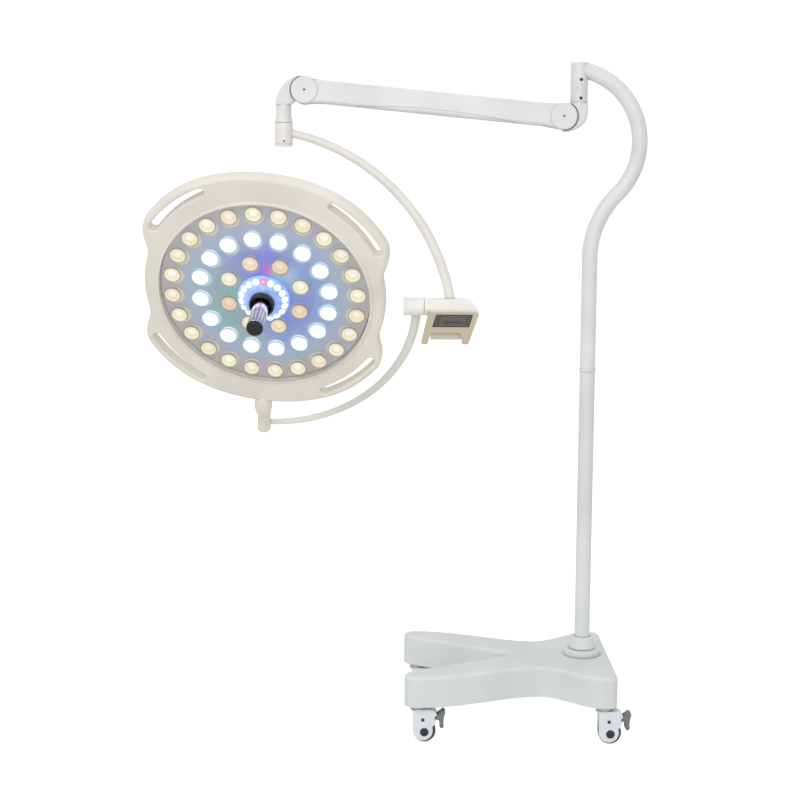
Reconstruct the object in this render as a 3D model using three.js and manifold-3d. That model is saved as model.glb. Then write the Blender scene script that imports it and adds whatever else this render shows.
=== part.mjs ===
// Mobile floor-standing LED surgical light.
// Millimetres, +Z up. The mast stands on the Z axis and the spring arm points along -X.
// The last lines move the finished model so that its box is centred over the origin, on the floor.

import * as THREE from 'three';
import { mergeVertices } from 'three/addons/utils/BufferGeometryUtils.js';
import Module from 'manifold-3d';

const wasm = await Module();
wasm.setup();

// ---------------------------------------------------------------- driving dimensions

const GAP = 0.3;                       // space left between touching pieces

// base
const BASE = {
  tipX: -500, endX: 75, tipHalf: 228, endHalf: 230,
  waistX: -130, waistHalf: 128, notchX: -189, notchHalf: 176,
  bottomZ: 104, topZ: 190, corner: 34, edge: 11, wall: 4,
};
const WEIGHT_THICK = 30;
const BOSS_R = 20;  // round boss over each caster

// casters: the swivel axis is at the given X and +-Y, the axle trails it by TRAIL
const CASTERS = [
  { name: 'front_near', x: -462, y: -188 },
  { name: 'front_far', x: -462, y: 188 },
  { name: 'rear_near', x: 40, y: -198 },
  { name: 'rear_far', x: 40, y: 198 },
];
const TRAIL = 16;
const WHEEL_R = 31;
const WHEEL_HALF = 12;
const HOOD = { x: 12, z: 34, r: 27 };  // round lower end of the hood, set off from the axle
const FORK_HALF = 21;
const PLATE_Z = 93;

// mast
const COLUMN_R = 21;
const COLUMN_BORE = 18;
const COLLAR_Z = 216;
const RING_Z = 996;
const RING_H = 9;
const S_CENTRE = new THREE.Vector2(-66, 1615);
const S_R = 195;
const S_START = THREE.MathUtils.degToRad(80);
const S_FLEX = THREE.MathUtils.degToRad(-45);
const SLEEVE_X = -38;
const SLEEVE_R = 23;
const SLEEVE_Z = [1721, 1826];
const SPINDLE_R = 12;

// spring arm
const REAR_PIVOT = new THREE.Vector3(-80, 0, 1683);
const ARM_LENGTH = 700;
const ARM_RISE = THREE.MathUtils.degToRad(5.4);
const ARM_HALF_H = 30;
const ARM_HALF_W = 31;
const DISC_R = 37;
const CHEEK_INNER = 16;
const TONGUE_HALF = 9;
const PIN_R = 8;
const LINK_OFFSET = 16;

// yoke
const YOKE_X = -834;
const FRONT_SLEEVE_R = 24;
const FRONT_SLEEVE_Z = [1600, 1661.5];
const UPPER_ARC = { x: -926, z: 1092, r: 554, from: 11, to: 80, tube: [10.5, 14] };
const GIMBAL = new THREE.Vector3(-885, 0, 1168);
const LOWER_ARC = { r: 413, sweep: 93.6, tube: [13, 8] };
const HUB_R = 24.7;
const HUB_X = [-508, -451.3];
const LOWER_TILT = THREE.MathUtils.degToRad(31.4);
const HEAD_TURN = THREE.MathUtils.degToRad(-5.7);

// control box
const BOX_X = [-451, -300];
const BOX_TOP = 1190;
const BOX_HALF_Y = 25;

// lamp head, in its own frame: origin at the gimbal centre, x right, y up, z out of the window
const HEAD_UP = 54;
const RIM_SIDE = 330;
const RIM_CORNER = 380;
const RIM_TOP = 367;
const WINDOW_R = 288;
const WINDOW_Z = 38;
const RIM_Z = [-4, 34];
const SLOT = { r: 349, half: 12, from: 31, to: 60 };
const LED_RINGS = [
  { count: 24, r: 255, phase: 7.5 },
  { count: 16, r: 179, phase: 11.25 },
  { count: 8, r: 105, phase: 22.5 },
];
const LENS_R = 24;
const SOCKET_R = 34;
const GRIP_R = 22;
const KNUCKLE_R = 19;

// ---------------------------------------------------------------- materials

function material(color, roughness, metalness = 0) {
  return new THREE.MeshStandardMaterial({ color, roughness, metalness });
}

const coolWhite = material(0xdfe3e1, 0.4);
const baseWhite = material(0xd6dad9, 0.45);
const warmWhite = material(0xebe6da, 0.4);
const castIron = material(0x35373a, 0.7, 0.6);
const steel = material(0xb9bcc0, 0.35, 1.0);
const chrome = material(0xd8dadc, 0.12, 1.0);
const blackPlastic = material(0x17181a, 0.5);
const tyreGrey = material(0x4a4d50, 0.8);
const pedalGrey = material(0x767c76, 0.6);
const hoodWhite = material(0xe4e8ec, 0.4);
const heatSinkGrey = material(0xa9adb2, 0.45, 0.9);
const glassClear = material(0xe8f2f6, 0.05);
const lensClear = material(0xfff3d8, 0.15);
const screenBlack = material(0x16202c, 0.2);

// ---------------------------------------------------------------- helpers

const group = new THREE.Group();
group.name = 'surgical_light';

function toSolid(geometry) {
  const g = geometry.clone();
  g.deleteAttribute('normal');
  g.deleteAttribute('uv');
  const welded = mergeVertices(g, 1e-4);
  const mesh = new wasm.Mesh({
    numProp: 3,
    vertProperties: new Float32Array(welded.attributes.position.array),
    triVerts: new Uint32Array(welded.index.array),
  });
  return new wasm.Manifold(mesh);
}

function toGeometry(solid) {
  const mesh = solid.getMesh();
  const g = new THREE.BufferGeometry();
  g.setAttribute('position', new THREE.BufferAttribute(new Float32Array(mesh.vertProperties), 3));
  g.setIndex(new THREE.BufferAttribute(new Uint32Array(mesh.triVerts), 1));
  g.computeVertexNormals();
  return g;
}

function addPart(name, solid, mat, matrix = null) {
  const g = toGeometry(solid);
  if (matrix) g.applyMatrix4(matrix);
  g.computeVertexNormals();
  const mesh = new THREE.Mesh(g, mat);
  mesh.name = name;
  group.add(mesh);
}

// block between two corners
function block(x0, x1, y0, y1, z0, z1) {
  const g = new THREE.BoxGeometry(x1 - x0, y1 - y0, z1 - z0);
  g.translate((x0 + x1) / 2, (y0 + y1) / 2, (z0 + z1) / 2);
  return toSolid(g);
}

// turned part about the Z axis: profile is a list of [radius, z] from the axis back to the axis
function turned(profile, segments = 24) {
  const points = profile.map(([r, z]) => new THREE.Vector2(r, z));
  const g = new THREE.LatheGeometry(points, segments);
  g.rotateX(Math.PI / 2);
  return toSolid(g);
}

function rod(r, z0, z1, segments = 20) {
  return turned([[0, z0], [r, z0], [r, z1], [0, z1]], segments);
}

// round bar along Y
function crossRod(r, y0, y1, x, z, segments = 16) {
  return rod(r, -y1, -y0, segments).rotate([90, 0, 0]).translate([x, 0, z]);
}

// round bar along X
function sideRod(r, x0, x1, y, z, segments = 16) {
  return rod(r, x0, x1, segments).rotate([0, 90, 0]).translate([0, y, z]);
}

// shape in the XZ plane, given thickness in Y from -half to +half, with rounded edges
function slab(shape, half, bevel = 0, curveSegments = 8, bevelSegments = 2) {
  const g = new THREE.ExtrudeGeometry(shape, {
    depth: 2 * (half - bevel),
    bevelEnabled: bevel > 0,
    bevelThickness: bevel,
    bevelSize: bevel,
    bevelOffset: -bevel,
    bevelSegments,
    curveSegments,
    steps: 1,
  });
  g.translate(0, 0, -(half - bevel));
  g.rotateX(Math.PI / 2);
  return toSolid(g);
}

// shape in the XY plane, raised from z0 to z1, with rounded edges
function plate(shape, z0, z1, bevel = 0, curveSegments = 8, bevelSegments = 2) {
  const g = new THREE.ExtrudeGeometry(shape, {
    depth: z1 - z0 - 2 * bevel,
    bevelEnabled: bevel > 0,
    bevelThickness: bevel,
    bevelSize: bevel,
    bevelOffset: -bevel,
    bevelSegments,
    curveSegments,
    steps: 1,
  });
  g.translate(0, 0, z0 + bevel);
  return toSolid(g);
}

// round tube along a plane curve: rings of the given radius, closed at both ends
function sweep(point, tangent, radius, across, steps, sides = 20) {
  const positions = [];
  const index = [];
  for (let i = 0; i <= steps; i += 1) {
    const t = i / steps;
    const centre = point(t);
    const side = new THREE.Vector3().crossVectors(across, tangent(t)).normalize();
    for (let j = 0; j < sides; j += 1) {
      const a = (2 * Math.PI * j) / sides;
      const p = centre.clone()
        .addScaledVector(side, radius(t) * Math.cos(a))
        .addScaledVector(across, radius(t) * Math.sin(a));
      positions.push(p.x, p.y, p.z);
    }
  }
  const first = positions.length / 3;
  for (const t of [0, 1]) {
    const centre = point(t);
    positions.push(centre.x, centre.y, centre.z);
  }
  for (let j = 0; j < sides; j += 1) {
    const k = (j + 1) % sides;
    for (let i = 0; i < steps; i += 1) {
      const a = i * sides;
      const b = a + sides;
      index.push(a + j, b + k, b + j, a + j, a + k, b + k);
    }
    const end = steps * sides;
    index.push(first, k, j, first + 1, end + j, end + k);
  }
  const g = new THREE.BufferGeometry();
  g.setAttribute('position', new THREE.Float32BufferAttribute(positions, 3));
  g.setIndex(index);
  let solid = toSolid(g);
  if (solid.volume() < 0) {
    g.setIndex(index.map((v, n) => index[n - (n % 3) + 2 - (n % 3)]));
    solid = toSolid(g);
  }
  return solid;
}

const Y_AXIS = new THREE.Vector3(0, 1, 0);

// tube along a circle in the XZ plane, angles measured from straight up towards +X
function arcTube(cx, cz, r, fromDeg, toDeg, r0, r1, steps) {
  const angle = (t) => THREE.MathUtils.degToRad(fromDeg + (toDeg - fromDeg) * t);
  return sweep(
    (t) => new THREE.Vector3(cx + r * Math.sin(angle(t)), 0, cz + r * Math.cos(angle(t))),
    (t) => new THREE.Vector3(Math.cos(angle(t)), 0, -Math.sin(angle(t))),
    (t) => r0 + (r1 - r0) * t,
    Y_AXIS, steps, 14,
  );
}

// ---------------------------------------------------------------- base

// plan of the base: one half drawn from the end to the notch, then mirrored about the X axis;
// inset draws the same outline further in
function baseShape(inset) {
  const b = BASE;
  const tip = b.tipX + inset;
  const end = b.endX - inset;
  const tipY = b.tipHalf - inset;
  const endY = b.endHalf - inset;
  const waistY = b.waistHalf - inset;
  const inner = b.notchHalf + inset;
  const apex = b.notchX + 2 * inset;
  const r = b.corner - inset;
  const innerRound = 16 - 1.2 * inset;
  const half = new THREE.Path();
  half.moveTo(end, 0);
  half.lineTo(end, endY - r);
  half.quadraticCurveTo(end, endY, end - r, endY);
  half.bezierCurveTo(end - 90, endY, b.waistX + 60, waistY, b.waistX, waistY);
  half.bezierCurveTo(b.waistX - 90, waistY, tip + 160, tipY, tip + r, tipY);
  half.quadraticCurveTo(tip, tipY, tip, tipY - r);
  half.lineTo(tip, inner + innerRound);
  half.quadraticCurveTo(tip, inner, tip + 18, inner - 10);
  half.lineTo(apex - 14, 8);
  half.quadraticCurveTo(apex - 2, 3, apex, 0);
  const points = half.getPoints(4);
  const mirrored = points.slice(1, -1).reverse().map((p) => new THREE.Vector2(p.x, -p.y));
  return new THREE.Shape(points.concat(mirrored));
}

function addBase() {
  const b = BASE;
  const outer = plate(baseShape(0), b.bottomZ - b.edge, b.topZ, b.edge, 1, 2);
  const floorCut = block(-600, 200, -300, 300, b.bottomZ - 60, b.bottomZ);
  const cavity = plate(baseShape(b.wall + 2), b.bottomZ - 2, b.topZ - b.wall, 0, 6);
  const columnHole = rod(COLUMN_R + GAP, b.topZ - 20, b.topZ + 20);
  const inletHole = block(-60, -12, b.waistHalf - 20, b.endHalf + 10, 140, 168);
  const cover = outer.subtract(floorCut).subtract(cavity).subtract(columnHole).subtract(inletHole);
  addPart('base_cover', cover, baseWhite);

  let weight = plate(baseShape(b.wall + 4), b.bottomZ + 1, b.bottomZ + 1 + WEIGHT_THICK, 0, 4);
  for (const c of CASTERS) {
    weight = weight.add(rod(BOSS_R, PLATE_Z, b.bottomZ + 6, 16).translate([c.x, c.y, 0]));
    weight = weight.subtract(rod(6.4, PLATE_Z - 5, b.bottomZ + 20, 12).translate([c.x, c.y, 0]));
  }
  weight = weight.subtract(rod(COLUMN_R + GAP, b.bottomZ + 12, b.topZ));
  addPart('base_weight', weight, castIron);

  const supplyZ = b.bottomZ + 1 + WEIGHT_THICK + GAP;
  addPart('power_supply', block(-170, -50, -45, 45, supplyZ, supplyZ + 42), steel);
  const inletY = inletSurfaceY();
  const inlet = block(-59.5, -12.5, inletY - 24, inletY + 1, 140.5, 167.5)
    .subtract(block(-52, -20, inletY - 14, inletY + 10, 146, 162));
  addPart('mains_inlet', inlet, blackPlastic);

  const lower = turned([
    [COLUMN_R + GAP, b.topZ + GAP], [50, b.topZ + GAP], [51, b.topZ + 6], [49, b.topZ + 15],
    [41, b.topZ + 18], [COLUMN_R + GAP, b.topZ + 18], [COLUMN_R + GAP, b.topZ + GAP],
  ], 28);
  addPart('collar_lower', lower, baseWhite);
  const z = b.topZ + 18 + GAP;
  const upper = turned([
    [COLUMN_R + GAP, z], [37, z], [36, z + 8], [30, COLLAR_Z + 22], [27, COLLAR_Z + 26],
    [COLUMN_R + GAP, COLLAR_Z + 26], [COLUMN_R + GAP, z],
  ], 28);
  addPart('collar_upper', upper, baseWhite);
}

// where the inlet meets the far side wall, between the waist and the end
function inletSurfaceY() {
  const t = 0.45;
  return BASE.waistHalf + (BASE.endHalf - BASE.waistHalf) * t;
}

// ---------------------------------------------------------------- casters

function hoodShape() {
  const s = new THREE.Shape();
  const rejoin = THREE.MathUtils.degToRad(20);
  const left = HOOD.x - HOOD.r;
  s.moveTo(left, PLATE_Z - GAP);
  s.lineTo(36, PLATE_Z - GAP);
  s.quadraticCurveTo(50, PLATE_Z - 6, 50, 76);
  s.quadraticCurveTo(49, 56, HOOD.x + HOOD.r * Math.cos(rejoin), HOOD.z + HOOD.r * Math.sin(rejoin));
  s.absarc(HOOD.x, HOOD.z, HOOD.r, rejoin, -Math.PI, true);
  s.lineTo(left, PLATE_Z - GAP);
  return s;
}

function pedalShape() {
  const s = new THREE.Shape();
  s.absarc(67, 82, 6, 0, Math.PI * 0.75, false);
  s.lineTo(50, 76);
  s.absarc(50, 70, 6, Math.PI * 0.5, Math.PI * 1.5, false);
  s.lineTo(57, 60);
  s.absarc(63, 46, 6, Math.PI * 1.1, Math.PI * 2, false);
  s.quadraticCurveTo(66, 66, 73, 82);
  return s;
}

function addCaster(c) {
  const place = (solid) => solid.translate([c.x, c.y, 0]);
  const pedalHub = crossRod(6.5, -40, 40, 50, 70, 16);
  let hood = slab(hoodShape(), FORK_HALF, 0, 4);
  hood = hood.subtract(block(-30, 60, -13, 13, -5, WHEEL_R + WHEEL_R + 4));
  hood = hood.subtract(pedalHub);
  hood = hood.subtract(crossRod(5.4, -40, 40, TRAIL, WHEEL_R, 12));
  hood = hood.add(rod(6, PLATE_Z - 3, BASE.bottomZ + 18, 12));
  addPart(`caster_hood_${c.name}`, place(hood), hoodWhite);

  const w = WHEEL_HALF;
  const tyre = turned([
    [22.3, -w], [28, -w], [WHEEL_R, -w + 5], [WHEEL_R, w - 5], [28, w], [22.3, w], [22.3, -w],
  ], 20).rotate([90, 0, 0]).translate([TRAIL, 0, WHEEL_R]);
  addPart(`caster_tyre_${c.name}`, place(tyre), tyreGrey);

  const core = turned([
    [0, -20], [5, -20], [5, -w + 1], [22, -w + 1], [22, w - 1], [5, w - 1], [5, 20], [0, 20],
  ], 18).rotate([90, 0, 0]).translate([TRAIL, 0, WHEEL_R]);
  addPart(`caster_wheel_${c.name}`, place(core), blackPlastic);

  addPart(`caster_pedal_${c.name}`, place(slab(pedalShape(), 16, 0, 3)), pedalGrey);
}

// ---------------------------------------------------------------- mast

function addMast() {
  const footZ = BASE.bottomZ + 12 + GAP;
  const ringLow = RING_Z - RING_H / 2;
  const ringHigh = RING_Z + RING_H / 2;
  const lower = rod(COLUMN_R, footZ, ringLow - GAP, 28)
    .subtract(rod(COLUMN_BORE, footZ - 5, ringLow + 5, 20));
  addPart('column_lower', lower, coolWhite);
  const ring = turned([
    [0, ringLow], [COLUMN_R + 0.5, ringLow], [COLUMN_R + 1.8, ringLow + 1.5],
    [COLUMN_R + 1.8, ringHigh - 1.5], [COLUMN_R + 0.5, ringHigh], [0, ringHigh],
  ], 28);
  addPart('column_joint_ring', ring, coolWhite);

  // upper column: straight, a bend to +X, then a large bend back over to the sleeve
  const flex = new THREE.Vector2(
    S_CENTRE.x + S_R * Math.cos(S_FLEX), S_CENTRE.y + S_R * Math.sin(S_FLEX),
  );
  const lowR = flex.x / (1 + Math.cos(Math.PI + S_FLEX));
  const lowZ = flex.y - lowR * Math.sin(-S_FLEX);
  const lengths = [lowZ - ringHigh - GAP, -S_FLEX * lowR, (S_START - S_FLEX) * S_R];
  const total = lengths[0] + lengths[1] + lengths[2];
  const point = (t) => {
    const s = t * total;
    if (s <= lengths[0]) return { p: [0, ringHigh + GAP + s], h: Math.PI / 2 };
    if (s <= lengths[0] + lengths[1]) {
      const a = (s - lengths[0]) / lowR;
      return { p: [lowR - lowR * Math.cos(a), lowZ + lowR * Math.sin(a)], h: Math.PI / 2 - a };
    }
    const a = S_FLEX + (s - lengths[0] - lengths[1]) / S_R;
    return { p: [S_CENTRE.x + S_R * Math.cos(a), S_CENTRE.y + S_R * Math.sin(a)], h: a + Math.PI / 2 };
  };
  const bend = (radius, from, to, steps) => sweep(
    (t) => {
      const { p } = point(from + (to - from) * t);
      return new THREE.Vector3(p[0], 0, p[1]);
    },
    (t) => {
      const { h } = point(from + (to - from) * t);
      return new THREE.Vector3(Math.cos(h), 0, Math.sin(h));
    },
    () => radius, Y_AXIS, steps, 16,
  );
  const split = lengths[0] / total;
  const tube = (radius, reach) => rod(radius, ringHigh + GAP - reach, lowZ + 2, 16)
    .add(bend(radius, split, 1, 20));
  const sleeveSpace = rod(SLEEVE_R + GAP, SLEEVE_Z[0] - 20, SLEEVE_Z[1] + 40).translate([SLEEVE_X, 0, 0]);
  addPart('column_upper', tube(COLUMN_R, 0).subtract(tube(COLUMN_BORE, 5)).subtract(sleeveSpace), coolWhite);

  const sleeve = rod(SLEEVE_R, SLEEVE_Z[0], SLEEVE_Z[1], 32)
    .subtract(rod(SPINDLE_R + GAP, SLEEVE_Z[0] - 5, SLEEVE_Z[1] - 20))
    .translate([SLEEVE_X, 0, 0]);
  const screws = [
    ['set_screw_upper', SLEEVE_Z[1] - 46],
    ['set_screw_lower', SLEEVE_Z[0] + 10],
  ];
  let drilled = sleeve;
  for (const [, z] of screws) {
    drilled = drilled.subtract(crossRod(4.3, -40, -5, SLEEVE_X + 3, z, 16));
  }
  addPart('mast_sleeve', drilled, warmWhite);
  for (const [name, z] of screws) {
    addPart(name, crossRod(4, -SLEEVE_R - 1, -SPINDLE_R - 2 * GAP, SLEEVE_X + 3, z, 16), blackPlastic);
  }
}

// ---------------------------------------------------------------- spring arm

const armMatrix = new THREE.Matrix4()
  .makeTranslation(REAR_PIVOT.x, REAR_PIVOT.y, REAR_PIVOT.z)
  .multiply(new THREE.Matrix4().makeRotationY(ARM_RISE));
const FRONT_PIVOT = new THREE.Vector3(-ARM_LENGTH, 0, 0).applyMatrix4(armMatrix);

// side outline of the arm, from the rear pivot (x = 0) to the front pivot
function armShape() {
  const s = new THREE.Shape();
  const lap = Math.asin(ARM_HALF_H / DISC_R);
  s.absarc(0, 0, DISC_R, -lap - 0.35, lap + 0.35, false);
  s.quadraticCurveTo(-30, ARM_HALF_H + 1, -60, ARM_HALF_H);
  s.lineTo(-ARM_LENGTH + 60, ARM_HALF_H);
  s.quadraticCurveTo(-ARM_LENGTH + 30, ARM_HALF_H + 1, -ARM_LENGTH + 12, DISC_R - 2);
  s.absarc(-ARM_LENGTH, 0, DISC_R, Math.PI / 2 - 0.33, Math.PI * 1.5 + 0.33, false);
  s.quadraticCurveTo(-ARM_LENGTH + 30, -ARM_HALF_H - 1, -ARM_LENGTH + 60, -ARM_HALF_H);
  s.lineTo(-60, -ARM_HALF_H);
  s.quadraticCurveTo(-30, -ARM_HALF_H - 1, DISC_R * Math.cos(-lap - 0.35), DISC_R * Math.sin(-lap - 0.35));
  return s;
}

// everything under the shallow curved seam
function underSeam(extra) {
  const from = -119;
  const to = -566;
  const sagitta = 13;
  const chord = from - to;
  const r = (chord * chord) / (8 * sagitta) + sagitta / 2;
  const shape = new THREE.Shape();
  const half = Math.asin(chord / 2 / r) * 1.2;
  const centreZ = -ARM_HALF_H + sagitta - r + extra;
  shape.absarc((from + to) / 2, centreZ, r, Math.PI / 2 - half, Math.PI / 2 + half, false);
  shape.lineTo(to - 40, -ARM_HALF_H - 60);
  shape.lineTo(from + 40, -ARM_HALF_H - 60);
  return slab(shape, ARM_HALF_W + 20, 0, 24);
}

function coilSpring(x0, x1, z, coilR, wireR, turns) {
  const length = x1 - x0;
  const positions = [];
  const index = [];
  const steps = turns * 7;
  const sides = 4;
  for (let i = 0; i <= steps; i += 1) {
    const a = (i / steps) * turns * 2 * Math.PI;
    const centre = new THREE.Vector3(x0 + (length * i) / steps, coilR * Math.cos(a), z + coilR * Math.sin(a));
    const out = new THREE.Vector3(0, Math.cos(a), Math.sin(a));
    const along = new THREE.Vector3(1, 0, 0);
    for (let j = 0; j < sides; j += 1) {
      const b = (2 * Math.PI * j) / sides;
      const p = centre.clone()
        .addScaledVector(out, wireR * Math.cos(b))
        .addScaledVector(along, wireR * Math.sin(b));
      positions.push(p.x, p.y, p.z);
    }
  }
  for (let j = 0; j < sides; j += 1) {
    const k = (j + 1) % sides;
    for (let i = 0; i < steps; i += 1) {
      const a = i * sides;
      const b = a + sides;
      index.push(a + j, b + j, b + k, a + j, b + k, a + k);
    }
    if (j > 0 && j < sides - 1) {
      const end = steps * sides;
      index.push(0, j, j + 1, end, end + j + 1, end + j);
    }
  }
  const g = new THREE.BufferGeometry();
  g.setAttribute('position', new THREE.Float32BufferAttribute(positions, 3));
  g.setIndex(index);
  let solid = toSolid(g);
  if (solid.volume() < 0) {
    g.setIndex(index.map((v, n) => index[n - (n % 3) + 2 - (n % 3)]));
    solid = toSolid(g);
  }
  return solid;
}

function addArm() {
  const w = ARM_HALF_W;
  const h = ARM_HALF_H;
  let outer = slab(armShape(), w, 9, 4, 1);
  const hollow = block(-ARM_LENGTH + 52, -52, -w + 5, w - 5, -h + 5, h - 5);
  const slotRear = block(-53, 60, -CHEEK_INNER, CHEEK_INNER, -60, 60);
  const slotFront = block(-ARM_LENGTH - 60, -ARM_LENGTH + 53, -CHEEK_INNER, CHEEK_INNER, -60, 60);
  const pins = crossRod(PIN_R + GAP, -60, 60, 0, 0).add(crossRod(PIN_R + GAP, -60, 60, -ARM_LENGTH, 0));
  outer = outer.subtract(hollow).subtract(slotRear).subtract(slotFront).subtract(pins);
  addPart('arm_shell', outer.subtract(underSeam(0)), coolWhite, armMatrix);
  addPart('arm_lower_cover', outer.intersect(underSeam(-GAP)), coolWhite, armMatrix);

  const rodZ = -8;
  addPart('balance_spring', coilSpring(-500, -180, rodZ, 9.5, 1.6, 10), steel, armMatrix);
  const springRod = sideRod(4, -560, -120, 0, rodZ, 12)
    .add(sideRod(12, -512, -504, 0, rodZ, 20))
    .add(sideRod(12, -176, -168, 0, rodZ, 20));
  addPart('spring_rod', springRod, steel, armMatrix);

  const disc = (x) => crossRod(35, -w - 3.5, -w - GAP, x, 0, 22)
    .subtract(crossRod(4, -60, 60, x, 0, 16));
  addPart('rear_disc_cover', disc(0), coolWhite, armMatrix);
  addPart('front_disc_cover', disc(-ARM_LENGTH), coolWhite, armMatrix);

  // the link stays parallel to the arm, a fixed height above the two pivots
  const link = (p, q) => {
    const bar = new THREE.Vector3().subVectors(q, p);
    const eye = (at) => crossRod(7.5, CHEEK_INNER - 6, CHEEK_INNER - 1, at.x, at.z, 16);
    const rise = Math.atan2(bar.z, -bar.x);
    const flat = block(-bar.length() + 5, -5, CHEEK_INNER - 6, CHEEK_INNER - 1, -4, 4)
      .rotate([0, THREE.MathUtils.radToDeg(rise), 0])
      .translate([p.x, 0, p.z]);
    let solid = flat.add(eye(p)).add(eye(q));
    for (const at of [p, q]) solid = solid.subtract(crossRod(4.3, -60, 60, at.x, at.z, 16));
    return solid;
  };
  const up = new THREE.Vector3(0, 0, LINK_OFFSET);
  addPart('levelling_link', link(REAR_PIVOT.clone().add(up), FRONT_PIVOT.clone().add(up)), steel);
}

// tongue between the arm's cheeks, with the bearing hole and the stub for the levelling link
function tongue(solid, at) {
  const ring = crossRod(DISC_R + 1.5, -60, -TONGUE_HALF, at.x, at.z, 24)
    .add(crossRod(DISC_R + 1.5, TONGUE_HALF, 60, at.x, at.z, 24));
  return solid
    .subtract(ring)
    .add(crossRod(34, -TONGUE_HALF, TONGUE_HALF, at.x, at.z, 24))
    .subtract(crossRod(PIN_R + GAP, -60, 60, at.x, at.z))
    .add(crossRod(4, TONGUE_HALF - 1, CHEEK_INNER - 0.5, at.x, at.z + LINK_OFFSET, 16));
}

function addRearElbow() {
  const { x, z } = REAR_PIVOT;
  const s = new THREE.Shape();
  s.moveTo(SLEEVE_X + SLEEVE_R, SLEEVE_Z[0] - GAP);
  s.lineTo(SLEEVE_X - SLEEVE_R, SLEEVE_Z[0] - GAP);
  s.lineTo(SLEEVE_X - SLEEVE_R, z + 20);
  s.lineTo(x, z + 10);
  s.lineTo(x, z - DISC_R - 3);
  s.bezierCurveTo(x + 36, z - DISC_R - 2, SLEEVE_X + SLEEVE_R, z - 22, SLEEVE_X + SLEEVE_R, z + 12);
  const body = slab(s, SLEEVE_R, 8, 4, 1);
  const spindle = rod(SPINDLE_R, SLEEVE_Z[0] - 20, SLEEVE_Z[1] - 24).translate([SLEEVE_X, 0, 0]);
  const bite = tongue(body, REAR_PIVOT).add(spindle);
  addPart('rear_elbow', bite, coolWhite);
  addPart('rear_pivot_pin', crossRod(PIN_R, -ARM_HALF_W + 1, ARM_HALF_W - 1, x, z), steel);
}

function addFrontElbow() {
  const { x, z } = FRONT_PIVOT;
  const neckR = 20.5;
  const r = 76;
  const s = new THREE.Shape();
  const seam = FRONT_SLEEVE_Z[1] + GAP;
  s.moveTo(YOKE_X - neckR, z - DISC_R);
  s.lineTo(YOKE_X + neckR, z - DISC_R);
  s.quadraticCurveTo(YOKE_X + neckR + 6, z - DISC_R + 6, x, z - 12);
  s.lineTo(x, z + DISC_R + 1);
  s.bezierCurveTo(
    x - r * 0.55, z + DISC_R + 1, YOKE_X - neckR, z + DISC_R - r * 0.45, YOKE_X - neckR, z - DISC_R,
  );
  const body = slab(s, neckR, 7, 4, 1);
  const neck = turned([
    [0, seam], [23.6, seam], [23.6, seam + 6], [neckR, seam + 18],
    [neckR, z - DISC_R + 4], [0, z - DISC_R + 4],
  ]).translate([YOKE_X, 0, 0]);
  const spindle = rod(SPINDLE_R, FRONT_SLEEVE_Z[0] + 16, seam + 10).translate([YOKE_X, 0, 0]);
  addPart('front_elbow', tongue(body, FRONT_PIVOT).add(neck).add(spindle), coolWhite);
  addPart('front_pivot_pin', crossRod(PIN_R, -ARM_HALF_W + 1, ARM_HALF_W - 1, x, z), steel);
}

// ---------------------------------------------------------------- yoke and control box

function boxShape() {
  const s = new THREE.Shape();
  s.moveTo(-437, BOX_TOP);
  s.lineTo(-326, BOX_TOP);
  s.quadraticCurveTo(-318, BOX_TOP, -314, BOX_TOP - 8);
  s.lineTo(BOX_X[1], 1156);
  s.quadraticCurveTo(BOX_X[1] - 2, 1140, -312, 1140);
  s.lineTo(-437, 1140);
  return s;
}

// front frame: four-sided, leaning, with two feet
function frameShape() {
  const s = new THREE.Shape();
  s.moveTo(-441, 1153);
  s.lineTo(-308, 1153);
  s.quadraticCurveTo(-301, 1152, -303, 1145);
  s.lineTo(-330, 1074);
  s.quadraticCurveTo(-332, 1068, -337, 1068);
  s.lineTo(-344, 1068);
  s.quadraticCurveTo(-349, 1068, -349, 1074);
  s.lineTo(-351, 1090);
  s.quadraticCurveTo(-352, 1097, -359, 1097);
  s.lineTo(-428, 1097);
  s.quadraticCurveTo(-434, 1097, -437, 1090);
  s.lineTo(-441, 1074);
  s.quadraticCurveTo(-443, 1068, -448, 1068);
  s.lineTo(-451, 1068);
  s.quadraticCurveTo(-461, 1071, -459, 1082);
  return s;
}

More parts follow.
